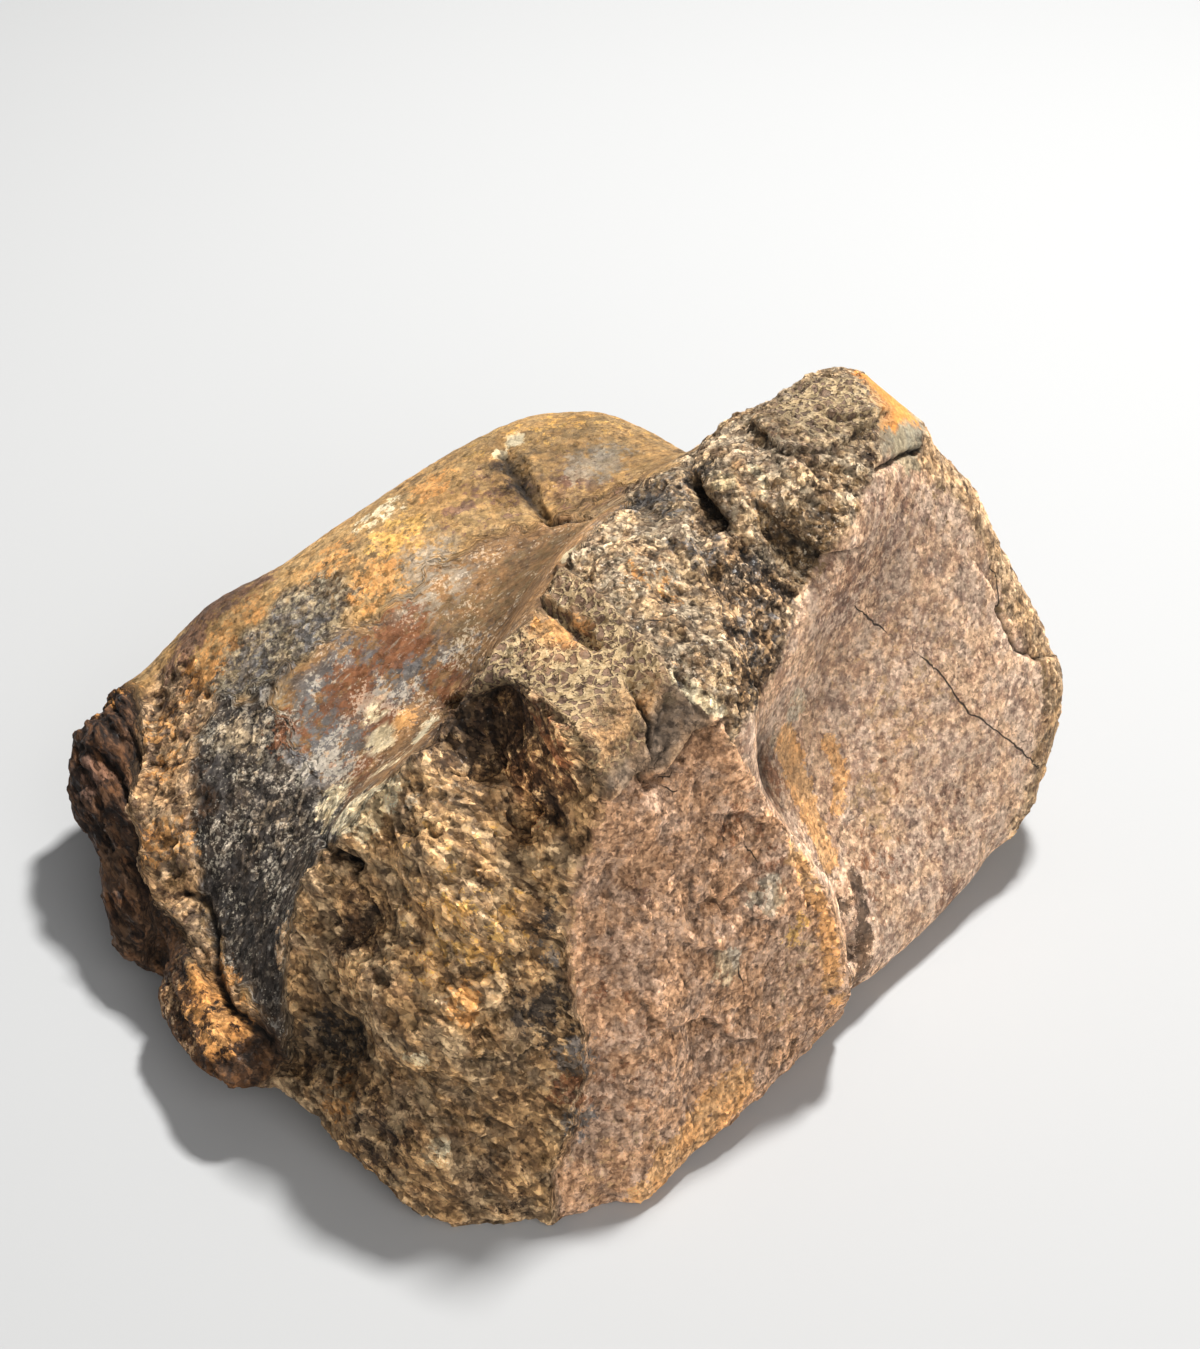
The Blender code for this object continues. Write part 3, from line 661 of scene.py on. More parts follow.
# Cracks that gape: depth and half width in mm.
CRACKS = [
    ([(541, 521), (568, 521), (594, 517), (606, 506)], 0.9, 0.35),
    ([(537, 606), (562, 617), (578, 631), (594, 643)], 2.2, 0.75),
    ([(594, 643), (603, 655), (618, 667), (629, 686), (635, 703), (647, 724), (648, 743), (648, 762), (649, 777)],
     1.4, 0.35),
    ([(691, 456), (694, 483), (708, 506), (723, 521)], 1.5, 0.7),
    ([(878, 470), (890, 464), (897, 459), (910, 453), (922, 449)], 1.3, 0.4),
    ([(998, 609), (1008, 630), (1017, 648)], 1.8, 0.8),
    ([(1021, 651), (1036, 659), (1055, 657)], 0.9, 0.35),
    ([(812, 864), (829, 889), (841, 915), (847, 951)], 1.6, 0.5),
    ([(184, 891), (203, 899), (215, 933), (215, 967), (230, 1006), (249, 1025), (270, 1042)], 1.3, 0.7),
    ([(322, 843), (338, 856), (356, 868)], 2.0, 0.7),
    ([(502, 456), (514, 478), (528, 500), (540, 518)], 0.7, 1.0),
    ([(768, 812), (785, 832), (805, 852), (820, 872)], 0.9, 0.35),
    ([(836, 898), (845, 925), (850, 955), (846, 988)], 1.8, 0.8),
]

# Hairlines: fine cracks, drawn as lines of this half width in mm.
HAIRLINES = [
    ([(852, 604), (865, 616), (876, 625), (890, 634)], 0.11),
    ([(917, 653), (930, 665), (944, 678), (960, 701), (970, 714), (982, 720), (1006, 738), (1021, 750), (1034, 764),
      (1044, 774)], 0.14),
    ([(736, 962), (739, 974), (743, 987)], 0.12),
    ([(740, 839), (750, 850), (762, 864)], 0.1),
    ([(762, 798), (772, 816), (788, 834), (806, 852), (822, 872), (832, 890)], 0.28),
    ([(826, 876), (836, 896), (843, 920), (849, 950)], 0.45),
    ([(844, 930), (850, 955), (849, 985), (844, 1003)], 0.8),
    ([(990, 560), (998, 580), (1001, 600), (1000, 612)], 0.14),
    ([(748, 770), (758, 790), (768, 812)], 0.1),
    ([(600, 800), (615, 794), (632, 780), (649, 764)], 0.14),
    ([(655, 778), (668, 768), (683, 745), (690, 733)], 0.14),
    ([(664, 782), (675, 793), (680, 787)], 0.14),
    ([(845, 822), (855, 818)], 0.12),
    ([(643, 617), (655, 620), (668, 622)], 0.12),
]

# In mm: how far from its line a hairline counts, how long its thinning ends are, and what is noted elsewhere.
HAIRLINE_REACH = 2.0
HAIRLINE_TAPER = 1.5
NO_HAIRLINE = 9.0

# Ledges rise within this many mm of their line and fade out at so many reaches; cracks fade out at so many
# widths. All these lines wander a little.
LEDGE_RISE = 0.35
LEDGE_FADE = 2.5
CRACK_FADE = 4
WANDER_WAVES = [(0.5, 2.2, 80), (0.25, 1.0, 84)]

# How many triangles the bone keeps in all, and before that on the side that the photograph doesn't show.
BONE_TRIANGLES = 195000
HIDDEN_TRIANGLES = 60000

relief = np.zeros(len(base))
for kind, share in shares.items():
    near = share > 0.01
    if near.any():
        relief[near] += share[near] * kind_relief(kind, base[near])
for column, row, height, radius in SWELLS:
    centre = pinned([(column, row)])[0]
    near = np.flatnonzero(np.all(np.abs(base - centre) < radius * SWELL_REACH, axis=1))
    relief[near] += height * np.exp(-np.sum((base[near] - centre) ** 2, axis=1) / radius ** 2)
crack_depth = np.zeros(len(base))
wander = base + straying(base, WANDER_WAVES)
for marks, height, reach in LEDGES:
    near, gap, side = beside(wander, marks, reach * LEDGE_FADE)
    relief[near] -= height * side * 0.5 * np.tanh(gap / LEDGE_RISE) * np.exp(-(gap / reach) ** 2)
for marks, depth, width in CRACKS:
    near, gap, _ = beside(wander, marks, width * CRACK_FADE)
    cut = np.exp(-(gap / width) ** 2)
    relief[near] -= depth * cut
    crack_depth[near] = np.maximum(crack_depth[near], cut * min(1.0, depth))
shape = base + normals * relief[:, None]
hairline = np.full(len(base), NO_HAIRLINE)
hairline_width = np.zeros(len(base))
for marks, width in HAIRLINES:
    near, gap, side = beside(wander, marks, HAIRLINE_REACH)
    ends_of_line = pinned([marks[0], marks[-1]])
    to_end = np.min([np.linalg.norm(wander[near] - end, axis=1) for end in ends_of_line], axis=0)
    nearer = gap < np.abs(hairline[near])
    hairline[near[nearer]] = (gap * side)[nearer]
    hairline_width[near[nearer]] = width * np.clip(to_end[nearer] / HAIRLINE_TAPER - 0.2, 0, 1)

skin.vertices.foreach_set("co", (shape * MM).astype(np.float32).ravel())
skin.update()
for name, values in {"crack_depth": crack_depth, "hairline": hairline, "hairline_width": hairline_width}.items():
    skin.attributes.new(name, "FLOAT", "POINT").data.foreach_set("value", values.astype(np.float32))
hidden = 1 - own_values(skin, "in_sight")
hidden_triangles = 2 * len(skin.polygons) * hidden.mean()
thinning = {"type": "DECIMATE", "use_collapse_triangulate": True}
kept_share = 1 - (hidden_triangles - HIDDEN_TRIANGLES) / len(skin.polygons) / 2
skin = changed(skin, {**thinning, "ratio": kept_share, "vertex_group": "hidden"}, {"hidden": hidden})
skin = changed(skin, {**thinning, "ratio": BONE_TRIANGLES / len(skin.polygons)})
low, high = (np.array(corner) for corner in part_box("toe_bone"))
points = np.clip(vertex_values(skin, "vertices", "co", 3), low, high)
skin.vertices.foreach_set("co", points.astype(np.float32).ravel())
skin.update()
points = points / MM
ends = mesh_edges(skin)
normals = vertex_values(skin, "vertex_normals", "vector", 3)
shares = {kind: own_values(skin, kind) for kind in kinds}
crack_depth = own_values(skin, "crack_depth")

# The bone's colours, mixed on its vertices: a ground colour for each kind of surface, patches and streaks laid
# over it, a few of them painted shade, then painted shade in crevices and painted highlights on crests. Colours
# are given as screen values from 0 to 255.
# Each ground has its main colour, the one it is mottled with, that one's share and how fine the mottling is.
GROUNDS = {
    "rough": ((206, 174, 132), (160, 132, 100), 0.42, 0.25), "roll": ((184, 149, 101), (154, 126, 86), 0.40, 0.5),
    "flank": ((174, 160, 134), (100, 90, 80), 0.45, 0.7), "saddle": ((152, 118, 82), (116, 90, 64), 0.4, 0.5),
    "dark_saddle": ((62, 55, 50), (146, 140, 132), 0.24, 0.9), "lip": ((202, 170, 132), (122, 98, 78), 0.42, 0.4),
    "left_end": ((96, 68, 47), (40, 27, 20), 0.45, 0.5), "flange": ((100, 71, 46), (52, 38, 28), 0.4, 0.5),
    "hollow": ((250, 206, 150), (112, 82, 58), 0.5, 0.5), "block": ((166, 134, 98), (112, 88, 66), 0.35, 0.7),
    "facet": ((128, 109, 91), (88, 74, 61), 0.4, 0.5), "band": ((210, 190, 160), (146, 124, 100), 0.45, 0.5),
    "dark_band": ((204, 176, 142), (100, 84, 68), 0.45, 0.5), "cap": ((140, 130, 112), (120, 110, 94), 0.3, 0.5),
    "rim": ((210, 178, 140), (150, 122, 94), 0.42, 0.5), "bowl": ((218, 188, 162), (170, 140, 120), 0.42, 0.6),
    "red": ((206, 170, 142), (166, 132, 106), 0.4, 0.6),
}
YELLOW_OCHRE = (224, 178, 104)
ORANGE = (208, 154, 94)
BOWL_OCHRE = (222, 172, 118)
RUST = (136, 90, 60)
CREAM = (240, 224, 188)
GREY = (178, 164, 142)
SLATE = (124, 120, 118)
OLIVE_GREY = (146, 138, 118)
CAP_ORANGE = (206, 140, 68)
BLUE_BLACK = (66, 60, 56)
PURPLE_BROWN = (126, 96, 80)
RED_BROWN = (146, 104, 78)
DARK_BROWN = (84, 64, 48)
OLIVE = (132, 108, 76)
TAN = (196, 164, 128)
PALE = (200, 184, 160)
GREY_BLUE = (168, 154, 136)

# Patches of each colour: pixel, radius in mm and strength. Of two equally strong ones the first stays on top.
PATCHES = [
    (PURPLE_BROWN, [(570, 450, 5, 0.3), (610, 490, 5, 0.35), (480, 500, 8, 0.4), (215, 600, 7, 0.8),
        (190, 640, 5, 0.8), (245, 580, 5, 0.7), (170, 670, 4, 0.5), (90, 780, 5, 0.5), (800, 430, 7, 0.25),
        (850, 400, 6, 0.25), (855, 580, 9, 0.45), (880, 530, 8, 0.4), (900, 490, 7, 0.35), (950, 820, 9, 0.3),
        (952, 896, 4, 0.6), (700, 830, 8, 0.2), (640, 870, 8, 0.25)]),
    (TAN, [(170, 800, 5, 0.5), (168, 1000, 4, 0.55), (190, 1050, 4, 0.45), (285, 940, 4, 0.6),
        (680, 640, 7, 0.3), (740, 490, 5, 0.4), (870, 800, 5, 0.5), (900, 700, 12, 0.3), (820, 940, 6, 0.4),
        (790, 1000, 6, 0.3), (620, 1160, 8, 0.3)]),
    (YELLOW_OCHRE, [(560, 420, 9, 0.35), (630, 425, 7, 0.3), (490, 440, 8, 0.3), (395, 533, 5, 0.6),
        (470, 920, 11, 0.35), (420, 850, 8, 0.2), (800, 935, 3.0, 0.5)]),
    (CREAM, [(515, 439, 1.6, 1.2), (500, 453, 1.2, 1.2), (568, 553, 1.4, 1.2), (723, 482, 1.6, 1.2),
        (350, 813, 3.4, 1.1), (332, 802, 3.0, 1.0), (382, 798, 2.6, 1.0), (364, 824, 2.6, 0.9),
        (378, 515, 4, 0.6), (382, 740, 2.6, 1.0), (345, 812, 3.4, 0.95), (375, 715, 2.2, 0.8),
        (365, 800, 2.4, 0.9), (328, 822, 2.0, 0.8), (430, 722, 1.4, 0.9), (395, 758, 2.0, 0.8),
        (438, 1151, 2, 0.7), (417, 1059, 1.8, 0.6), (565, 590, 4, 0.3)]),
    (RED_BROWN, [(770, 770, 6, 0.5), (870, 790, 8, 0.3), (870, 865, 8, 0.35), (745, 815, 6, 0.4),
        (780, 870, 7, 0.35), (620, 1080, 7, 0.3), (605, 980, 6, 0.3)]),
    (GREY, [(225, 740, 6, 0.5), (430, 790, 5, 0.3), (520, 640, 5, 0.4), (630, 530, 6, 0.5), (680, 480, 6, 0.4),
        (720, 500, 5, 0.3)]),
    (CAP_ORANGE, [(893, 394, 5.5, 1.0), (880, 388, 4, 1.1), (888, 412, 4, 0.9)]),
    (PALE, [(795, 707, 3.0, 0.7), (769, 895, 3.0, 0.8), (727, 964, 2.6, 0.9)]),
    (GREY_BLUE, [(595, 464, 6, 0.5), (774, 741, 2.2, 0.6)]),
    (OLIVE_GREY, [(908, 440, 5, 0.8)]),
    # Dark brown on the wall under the block's front edge (470 to 555, 700 to 790) and right of the seam (845 to
    # 870, 905 to 985) is partly painted shade.
    (DARK_BROWN, [(440, 650, 6, 0.4), (205, 760, 4, 0.5), (120, 860, 7, 0.6), (135, 930, 7, 0.6),
        (230, 1050, 6, 0.4), (260, 1050, 5, 0.5), (360, 925, 5, 0.6), (380, 1140, 8, 0.5), (320, 1060, 5, 0.4),
        (500, 1180, 8, 0.3), (470, 730, 7, 0.8), (500, 700, 6, 0.9), (520, 740, 6, 0.7), (555, 790, 6, 0.6),
        (865, 440, 5, 0.4), (1017, 812, 4, 0.3), (859, 953, 2.5, 0.6), (845, 905, 2.5, 0.5), (870, 985, 4, 0.5)]),
    (ORANGE, [(432, 484, 4, 0.7), (374, 583, 5, 0.7), (330, 560, 5, 0.5), (245, 615, 5, 0.5),
        (205, 670, 5, 0.6), (165, 730, 5, 0.45), (165, 765, 5, 0.45), (165, 840, 6, 0.5), (110, 690, 4, 0.4),
        (208, 985, 5, 0.75), (222, 1030, 5, 0.65), (406, 722, 2.4, 1.0), (463, 1006, 3, 0.7),
        (341, 1101, 4, 0.5), (550, 640, 5, 0.9), (660, 580, 6, 0.3)]),
    (OLIVE, [(345, 595, 6, 0.4), (520, 580, 9, 0.5), (470, 620, 8, 0.5), (560, 545, 7, 0.5), (175, 870, 4, 0.5),
        (200, 960, 5, 0.4), (450, 1100, 9, 0.4), (500, 1040, 8, 0.4), (750, 690, 6, 0.4), (800, 535, 7, 0.5),
        (830, 500, 6, 0.3), (940, 490, 5, 0.3), (825, 640, 7, 0.2), (1045, 680, 5, 0.3), (1010, 600, 5, 0.3),
        (750, 1060, 8, 0.2)]),
    (SLATE, [(310, 620, 7, 0.4), (270, 640, 6, 0.35), (250, 665, 6, 0.5), (270, 850, 8, 0.3),
        (574, 1060, 3.5, 0.6), (576, 1120, 3.5, 0.5), (615, 520, 4, 0.4), (660, 495, 6, 0.5),
        (640, 500, 4, 0.5), (690, 550, 6, 0.35), (750, 620, 7, 0.4)]),
    # Blue-black in the band (700 to 760, 470 to 590) is partly painted shade at its left-facing steps.
    (BLUE_BLACK, [(230, 770, 6, 0.6), (250, 800, 8, 0.4), (240, 880, 8, 0.5), (260, 940, 7, 0.4),
        (540, 1015, 5, 0.6), (552, 925, 4, 0.4), (341, 1035, 5, 0.55), (760, 580, 6, 0.4), (740, 590, 5, 0.4),
        (700, 470, 4, 0.5)]),
    (RUST, [(400, 640, 6, 0.6), (440, 680, 5, 0.5), (350, 690, 6, 0.6), (380, 720, 5, 0.5), (290, 730, 5, 0.5),
        (360, 770, 5, 0.5), (570, 1090, 3.5, 0.6), (540, 715, 4, 0.5), (562, 745, 4, 0.5)]),
    (ORANGE, [(225, 640, 6, 0.5)]),
    (DARK_BROWN, [(200, 800, 4, 0.6)]),
    (SLATE, [(545, 960, 4, 0.4)]),
]

# Islands: pixel, radius in mm, colour and share of a second colour that mottles the ground there.
ISLANDS = [
    (405, 660, 8, SLATE, 0.5), (362, 655, 7, SLATE, 0.5), (320, 700, 9, SLATE, 0.6), (340, 742, 9, SLATE, 0.6),
    (305, 775, 9, SLATE, 0.65), (435, 590, 8, GREY_BLUE, 0.5), (425, 560, 7, GREY_BLUE, 0.5),
    (380, 690, 7, SLATE, 0.5), (470, 655, 6, SLATE, 0.35), (430, 675, 6, SLATE, 0.45), (400, 640, 5, RUST, 0.5),
    (352, 690, 5, RUST, 0.5), (300, 730, 7, SLATE, 0.5), (380, 715, 4, RUST, 0.5), (460, 690, 4, RUST, 0.4),
    (575, 480, 6, PURPLE_BROWN, 0.6), (600, 462, 6, GREY, 0.6), (400, 450, 9, OLIVE, 0.4),
    (350, 560, 8, OLIVE, 0.5), (250, 740, 9, GREY, 0.45), (240, 880, 10, GREY_BLUE, 0.2),
    (270, 820, 10, GREY_BLUE, 0.35), (515, 485, 4, DARK_BROWN, 0.5), (500, 462, 3, DARK_BROWN, 0.5),
    (535, 450, 5, OLIVE, 0.45),
]

# Places lighter or darker than their kind: pixel, radius in mm and how much lighter or darker than its kind the
# bone is there. Most give the bone's own tone. Some are painted light and shade: darker on the roll's top and
# lighter on its left, evening out how the light falls on it, and darker as painted shade on the wall under the
# block's front edge and under the overhang in the band.
TONE_LIGHT_AND_SHADE = [
    (540, 430, 14, 0.72), (620, 440, 10, 0.72), (340, 580, 12, 1.25), (300, 560, 8, 1.1), (310, 720, 12, 1.1),
    (220, 600, 8, 0.55), (835, 410, 10, 0.58), (470, 712, 4, 0.45), (500, 702, 4, 0.45), (470, 950, 13, 1.25),
    (380, 960, 8, 1.1), (345, 1035, 7, 0.5), (750, 590, 8, 1.1), (700, 840, 10, 1.1), (520, 490, 3.2, 0.35),
    (507, 466, 2.5, 0.4), (800, 540, 6, 0.55), (650, 498, 5, 0.5), (714, 502, 4, 0.5), (470, 905, 8, 1.1),
    (610, 525, 7, 1.25), (692, 672, 6, 0.78), (640, 570, 8, 0.92), (450, 1080, 12, 0.95), (740, 1120, 8, 0.95),
    (330, 980, 10, 1.15), (940, 560, 13, 0.86), (900, 870, 12, 0.88), (690, 920, 9, 0.88), (345, 1060, 9, 0.8),
    (430, 1130, 14, 0.9), (300, 1010, 7, 0.8), (310, 1080, 9, 0.85), (215, 1010, 7, 1.2), (800, 930, 8, 1.1),
    (615, 1000, 8, 1.12), (240, 940, 8, 0.7), (560, 790, 6, 1.5), (575, 750, 4, 1.7), (532, 755, 5, 1.4),
    (555, 628, 5, 1.2),
]

# Streaks: line of pixels, half width in mm, colour and strength.
STREAKS = [
    ([(784, 740), (797, 775), (812, 820), (828, 858)], 2.4, BOWL_OCHRE, 0.95),
    ([(830, 743), (841, 775), (837, 805)], 1.6, BOWL_OCHRE, 0.75),
    ([(870, 780), (885, 830)], 2.2, TAN, 0.5),
    ([(737, 1087), (706, 1125), (672, 1160), (652, 1195)], 3.2, BOWL_OCHRE, 0.9),
    ([(830, 1010), (790, 1055), (740, 1100), (700, 1140)], 1.6, DARK_BROWN, 0.4),
    (FLANGE_EDGE, 1.0, TAN, 0.7),
    ([(406, 756), (420, 740), (430, 718)], 0.8, CREAM, 0.8),
    ([(330, 790), (370, 772), (400, 760)], 0.8, CREAM, 0.5),
    ([(752, 466), (763, 479), (765, 495)], 0.7, CREAM, 0.9),
    ([(601, 799), (591, 827), (576, 865), (568, 903), (565, 941), (567, 980)], 1.2, TAN, 0.5),
    ([(673, 676), (700, 697), (717, 711)], 1.1, CREAM, 0.8),
    ([(560, 505), (590, 500), (640, 480)], 2.0, PURPLE_BROWN, 0.3),
    ([(744, 750), (767, 807), (787, 838), (806, 861)], 0.8, TAN, 0.4),
    ([(788, 848), (808, 880), (824, 915), (834, 960), (834, 1000)], 1.6, BOWL_OCHRE, 0.65),
    # This dark brown streak right of the seam is painted shade in the crevice behind the red face's edge.
    ([(854, 880), (864, 920), (866, 960), (860, 995)], 2.0, DARK_BROWN, 0.7),
]

# Painted shade darkens hollows and painted highlights lighten crests, once for fine relief and once for wide
# relief: how many rounds of smoothing level it, the change per mm, and the darkest and lightest it may become.
SHADES = [(4, 2.6, 0.42, 1.22), (30, 0.5, 0.5, 1.15)]
# Gaping cracks are darkened towards this colour by their depth, as painted shade inside them.
CRACK_COLOUR = (22, 16, 12)
CRACK_DARKENING = 0.96


def linear(colour):
    """Screen colour from 0 to 255 as a share of light."""
    share = np.array(colour, float) / 255.0
    return np.where(share <= 0.04045, share / 12.92, ((share + 0.055) / 1.055) ** 2.4)


def spot(places, column, row, radius, core, fall):
    """How much a round spot covers each place, from 1 in its core down to 0."""
    gap = np.linalg.norm(places - pinned([(column, row)])[0], axis=1) / radius
    return np.clip(core - fall * gap, 0, 1)


def lay(near, colour, cover):
    """Lay a colour on these vertices wherever it covers more than what they have; most are stains, a few painted
    shade.
    """
    more = cover > stain_and_shade[near, 3]
    near, cover = near[more], cover[more]
    stain_and_shade[near] = np.c_[np.tile(linear(colour), (len(near), 1)), cover]


tint = sum(share[:, None] * linear(GROUNDS[kind][0]) for kind, share in shares.items())
mottle = sum(share[:, None] * linear(GROUNDS[kind][1]) for kind, share in shares.items())
balance = sum(share * GROUNDS[kind][2] for kind, share in shares.items())
fineness = sum(share * GROUNDS[kind][3] for kind, share in shares.items())

# Spots that are laid on drifted places get wandering edges; streaks drift by a share of that.
DRIFT = 1.6
DRIFT_WAVES = [(1.0, 3.5, 90), (0.6, 1.5, 95)]
STREAK_DRIFT = 0.2

# How much a spot covers in its middle and how fast that falls off per radius; more than 1 covers fully.
PATCH_EDGE = (1.5, 1.0)
ISLAND_EDGE = (1.5, 1.5)
MASK_EDGE = (1.6, 1.6)
STREAK_CORE = 1.6

drift = points + DRIFT * straying(points, DRIFT_WAVES)
everywhere = np.arange(len(points))
stain_and_shade = np.zeros((len(points), 4))
for colour, spots in PATCHES:
    for column, row, radius, strength in spots:
        lay(everywhere, colour, strength * spot(points, column, row, radius, *PATCH_EDGE))
for column, row, radius, colour, share in ISLANDS:
    cover = spot(drift, column, row, radius, *ISLAND_EDGE)
    mottle += cover[:, None] * (linear(colour) - mottle)
    balance += cover * (share - balance)
for marks, width, colour, strength in STREAKS:
    near, gap, _ = beside((1 - STREAK_DRIFT) * points + STREAK_DRIFT * drift, marks, width * STREAK_CORE)
    lay(near, colour, strength * np.clip(STREAK_CORE - gap / width, 0, 1))
# Own tone, and painted light and shade, made lighter or darker spot by spot.
for column, row, radius, factor in TONE_LIGHT_AND_SHADE:
    cover = spot(drift, column, row, radius, *PATCH_EDGE)[:, None]
    for layer in (tint, mottle, stain_and_shade[:, :3]):
        layer *= 1 + (factor - 1) * cover
# Painted shade and highlights: vertices below their smoothed place are darkened, those above it lightened.
shade = np.ones(len(points))
for rounds, strength, darkest, lightest in SHADES:
    levelled = relaxed(points, ends, np.full(len(points), SMOOTHING), rounds)
    shade *= np.clip(1.0 + strength * np.sum((points - levelled) * normals, axis=1), darkest, lightest)
# Onto every layer: the painted shade and highlights, then painted shade inside gaping cracks by their depth.
for layer in (tint, mottle, stain_and_shade[:, :3]):
    layer *= shade[:, None]
    layer += CRACK_DARKENING * crack_depth[:, None] * (linear(CRACK_COLOUR) - layer)

# Masks for the fine patterns. On each kind of surface: cream specks, dark specks, honeycomb and grain.
SPECKS = {
    "rough": (0.35, 0.45, 0, 0.9), "roll": (0.35, 0.5, 0, 0.5), "flank": (0.8, 0.8, 0, 0.7),
    "saddle": (1.05, 0.4, 0, 0.3), "dark_saddle": (1.2, 0.6, 0, 0.7), "lip": (0.3, 0.5, 0, 0.8),
    "left_end": (0.2, 0.5, 0, 0.7), "flange": (0.2, 0.4, 0, 0.7), "hollow": (0.2, 0.5, 0, 0.8),
    "block": (0.3, 0.3, 0.9, 0.6), "facet": (0.15, 0.25, 0, 0.4), "band": (0.85, 0.75, 0, 1.0),
    "dark_band": (0.7, 0.85, 0, 1.0), "cap": (0.1, 0.2, 0, 0.2), "rim": (0.5, 0.35, 0, 0.5),
    "bowl": (0.55, 0.5, 0, 0.5), "red": (0.4, 0.4, 0, 0.8),
}

# Which run the pattern follows on each kind: the saddle's, the rough face's, the left end's layers or the dark
# saddle's.
RUNS = {"saddle": (1,), "rough": (0, 1), "flange": (0, 0.7), "hollow": (0, 1), "left_end": (0, 0, 1),
        "dark_saddle": (0, 0, 0, 1)}

# How ledgy the broken stone is on each kind, how dark the painted shade in its hollows is, and how far the
# surface shines.
BREAKS = {
    "rough": (1.0, 0.6), "red": (0.25, 0.25), "band": (0.7, 0.7, 0.1), "dark_band": (1.0, 1.0, 0.2),
    "hollow": (0.8, 0.8), "block": (0.3, 0.3), "left_end": (0.5, 0.7), "flange": (0.5, 0.5), "lip": (0.8, 0.6),
    "rim": (0.5, 0.3), "facet": (0.15, 0.2), "cap": (0, 0, 0.4), "dark_saddle": (0.5, 0.5, 0.4),
    "flank": (0.3, 0.4, 0.2), "roll": (0.12, 0.1, 0.3), "bowl": (0.1, 0.1, 0.3), "saddle": (0.05, 0.1, 0.7),
}

# Honeycomb that shows or is worn away: pixel, radius in mm and how far it is honeycombed.
COMB_SPOTS = [
    (800, 400, 7, 0.7), (830, 392, 8, 0.8), (860, 400, 7, 0.7), (820, 425, 6, 0.5), (560, 628, 4.5, 0.1),
    (540, 618, 4.0, 0.1), (620, 715, 5.0, 0.2), (610, 740, 5.0, 0.1), (640, 700, 3.5, 0.3), (650, 690, 4.0, 0.4),
    (655, 715, 4.0, 0.0), (560, 585, 3.0, 0.4),
]

# Salt: places with more fine cream specks, by pixel, radius in mm and amount.
SALT = [(385, 690, 9, 0.9), (335, 750, 8, 0.9), (310, 700, 7, 0.8), (440, 650, 7, 0.5), (400, 770, 5, 0.8)]


def blended(table):
    """Mask values of every vertex, blended from each kind's by its share; what a kind doesn't name is 0."""
    masks = np.zeros((len(points), 4))
    for kind, share in shares.items():
        values = table.get(kind, ())
        masks[:, :len(values)] += share[:, None] * values
    return masks


specks = blended(SPECKS)
for column, row, radius, amount in COMB_SPOTS:
    specks[:, 2] += spot(drift, column, row, radius, *MASK_EDGE) * (amount - specks[:, 2])
for column, row, radius, amount in SALT:
    specks[:, 0] += amount * spot(drift, column, row, radius, *MASK_EDGE)
for name, rows in (("tint", np.c_[tint, fineness]), ("mottle", np.c_[mottle, balance]), ("specks", specks),
                   ("runs", blended(RUNS)), ("breaks", blended(BREAKS)), ("stain_and_shade", stain_and_shade)):
    layer = skin.color_attributes.new(name, "FLOAT_COLOR", "POINT")
    layer.data.foreach_set("color", rows.astype(np.float32).ravel())

# The bone's finish: one stone material whose fine grain, specks and honeycomb are patterns of its nodes. The
# patterns' spans are in mm.
WIDE_SPAN = 3.4
FINE_SPAN = 1.2
GRAIN_SPAN = 0.5
CLOUD_SPAN = 6.0
LEDGE_SPAN = 1.8
GRIT_SPAN = 0.85
CRYSTAL_SPAN = 0.42
FACET_TILT = 1.7
FACET_STEP = 0.34
STAIN_AND_SHADE_SPAN = 2.0
STAIN_AND_SHADE_HOLD = 0.88
WARMTH_SPAN = 5.0
DARK_SPECK_SPAN = 1.1
CREAM_SPECK_SPAN = 0.6
SCRATCH_STRETCH = 16.0
SCRATCH_COLOUR = (0.50, 0.42, 0.32, 1)
DARK_SPECK_COLOUR = (0.03, 0.023, 0.018, 1)
CREAM_SPECK_COLOUR = (0.80, 0.71, 0.55, 1)
HAIRLINE_COLOUR = (0.02, 0.015, 0.012, 1)
SPECULAR_LEVEL = 0.35

paint = bpy.data.materials.new("fossil_bone")
paint.use_nodes = True
tree = paint.node_tree
stone = tree.nodes["Principled BSDF"]
stone.inputs["Specular IOR Level"].default_value = SPECULAR_LEVEL


def step(kind, settings=(), **inputs):
    """A node with its settings; inputs are numbers, colours or other nodes' outputs, by name or place."""
    node = tree.nodes.new("ShaderNode" + kind)
    for name, value in dict(settings).items():
        setattr(node, name, value)
    for name, value in inputs.items():
        socket = node.inputs[int(name[1:])] if name[1:].isdigit() else node.inputs[name.replace("_", " ")]
        if isinstance(value, bpy.types.NodeSocket):
            tree.links.new(value, socket)
        else:
            socket.default_value = value
    return node.outputs


def maths(operation, *values):
    """A sum of two or three numbers, as a node."""
    return step("Math", {"operation": operation}, **{f"i{place}": value for place, value in enumerate(values)})[0]


def vectors(operation, first, second):
    """A sum of two places or directions, as a node's outputs."""
    return step("VectorMath", {"operation": operation}, i0=first, i1=second)


def between(value, low, high):
    """A value's smooth rise from 0 at low to 1 at high."""
    rise = {"interpolation_type": "SMOOTHSTEP"}
    return step("MapRange", rise, Value=value, From_Min=low, From_Max=high)["Result"]


def mixed(factor, first, second, blend="MIX"):
    """Two colours mixed by a factor."""
    return step("Mix", {"data_type": "RGBA", "blend_type": blend}, i0=factor, i6=first, i7=second)[2]


def shaded(factor, ground, by, dark, light):
    """A colour darkened and lightened by a pattern from 0 to 1, as far as the factor says."""
    return mixed(factor, ground, mixed(by, (*dark, 1), (*light, 1)), "MULTIPLY")


def painted(name):
    """The outputs of an attribute that the mesh carries."""
    return step("Attribute", {"attribute_name": name})


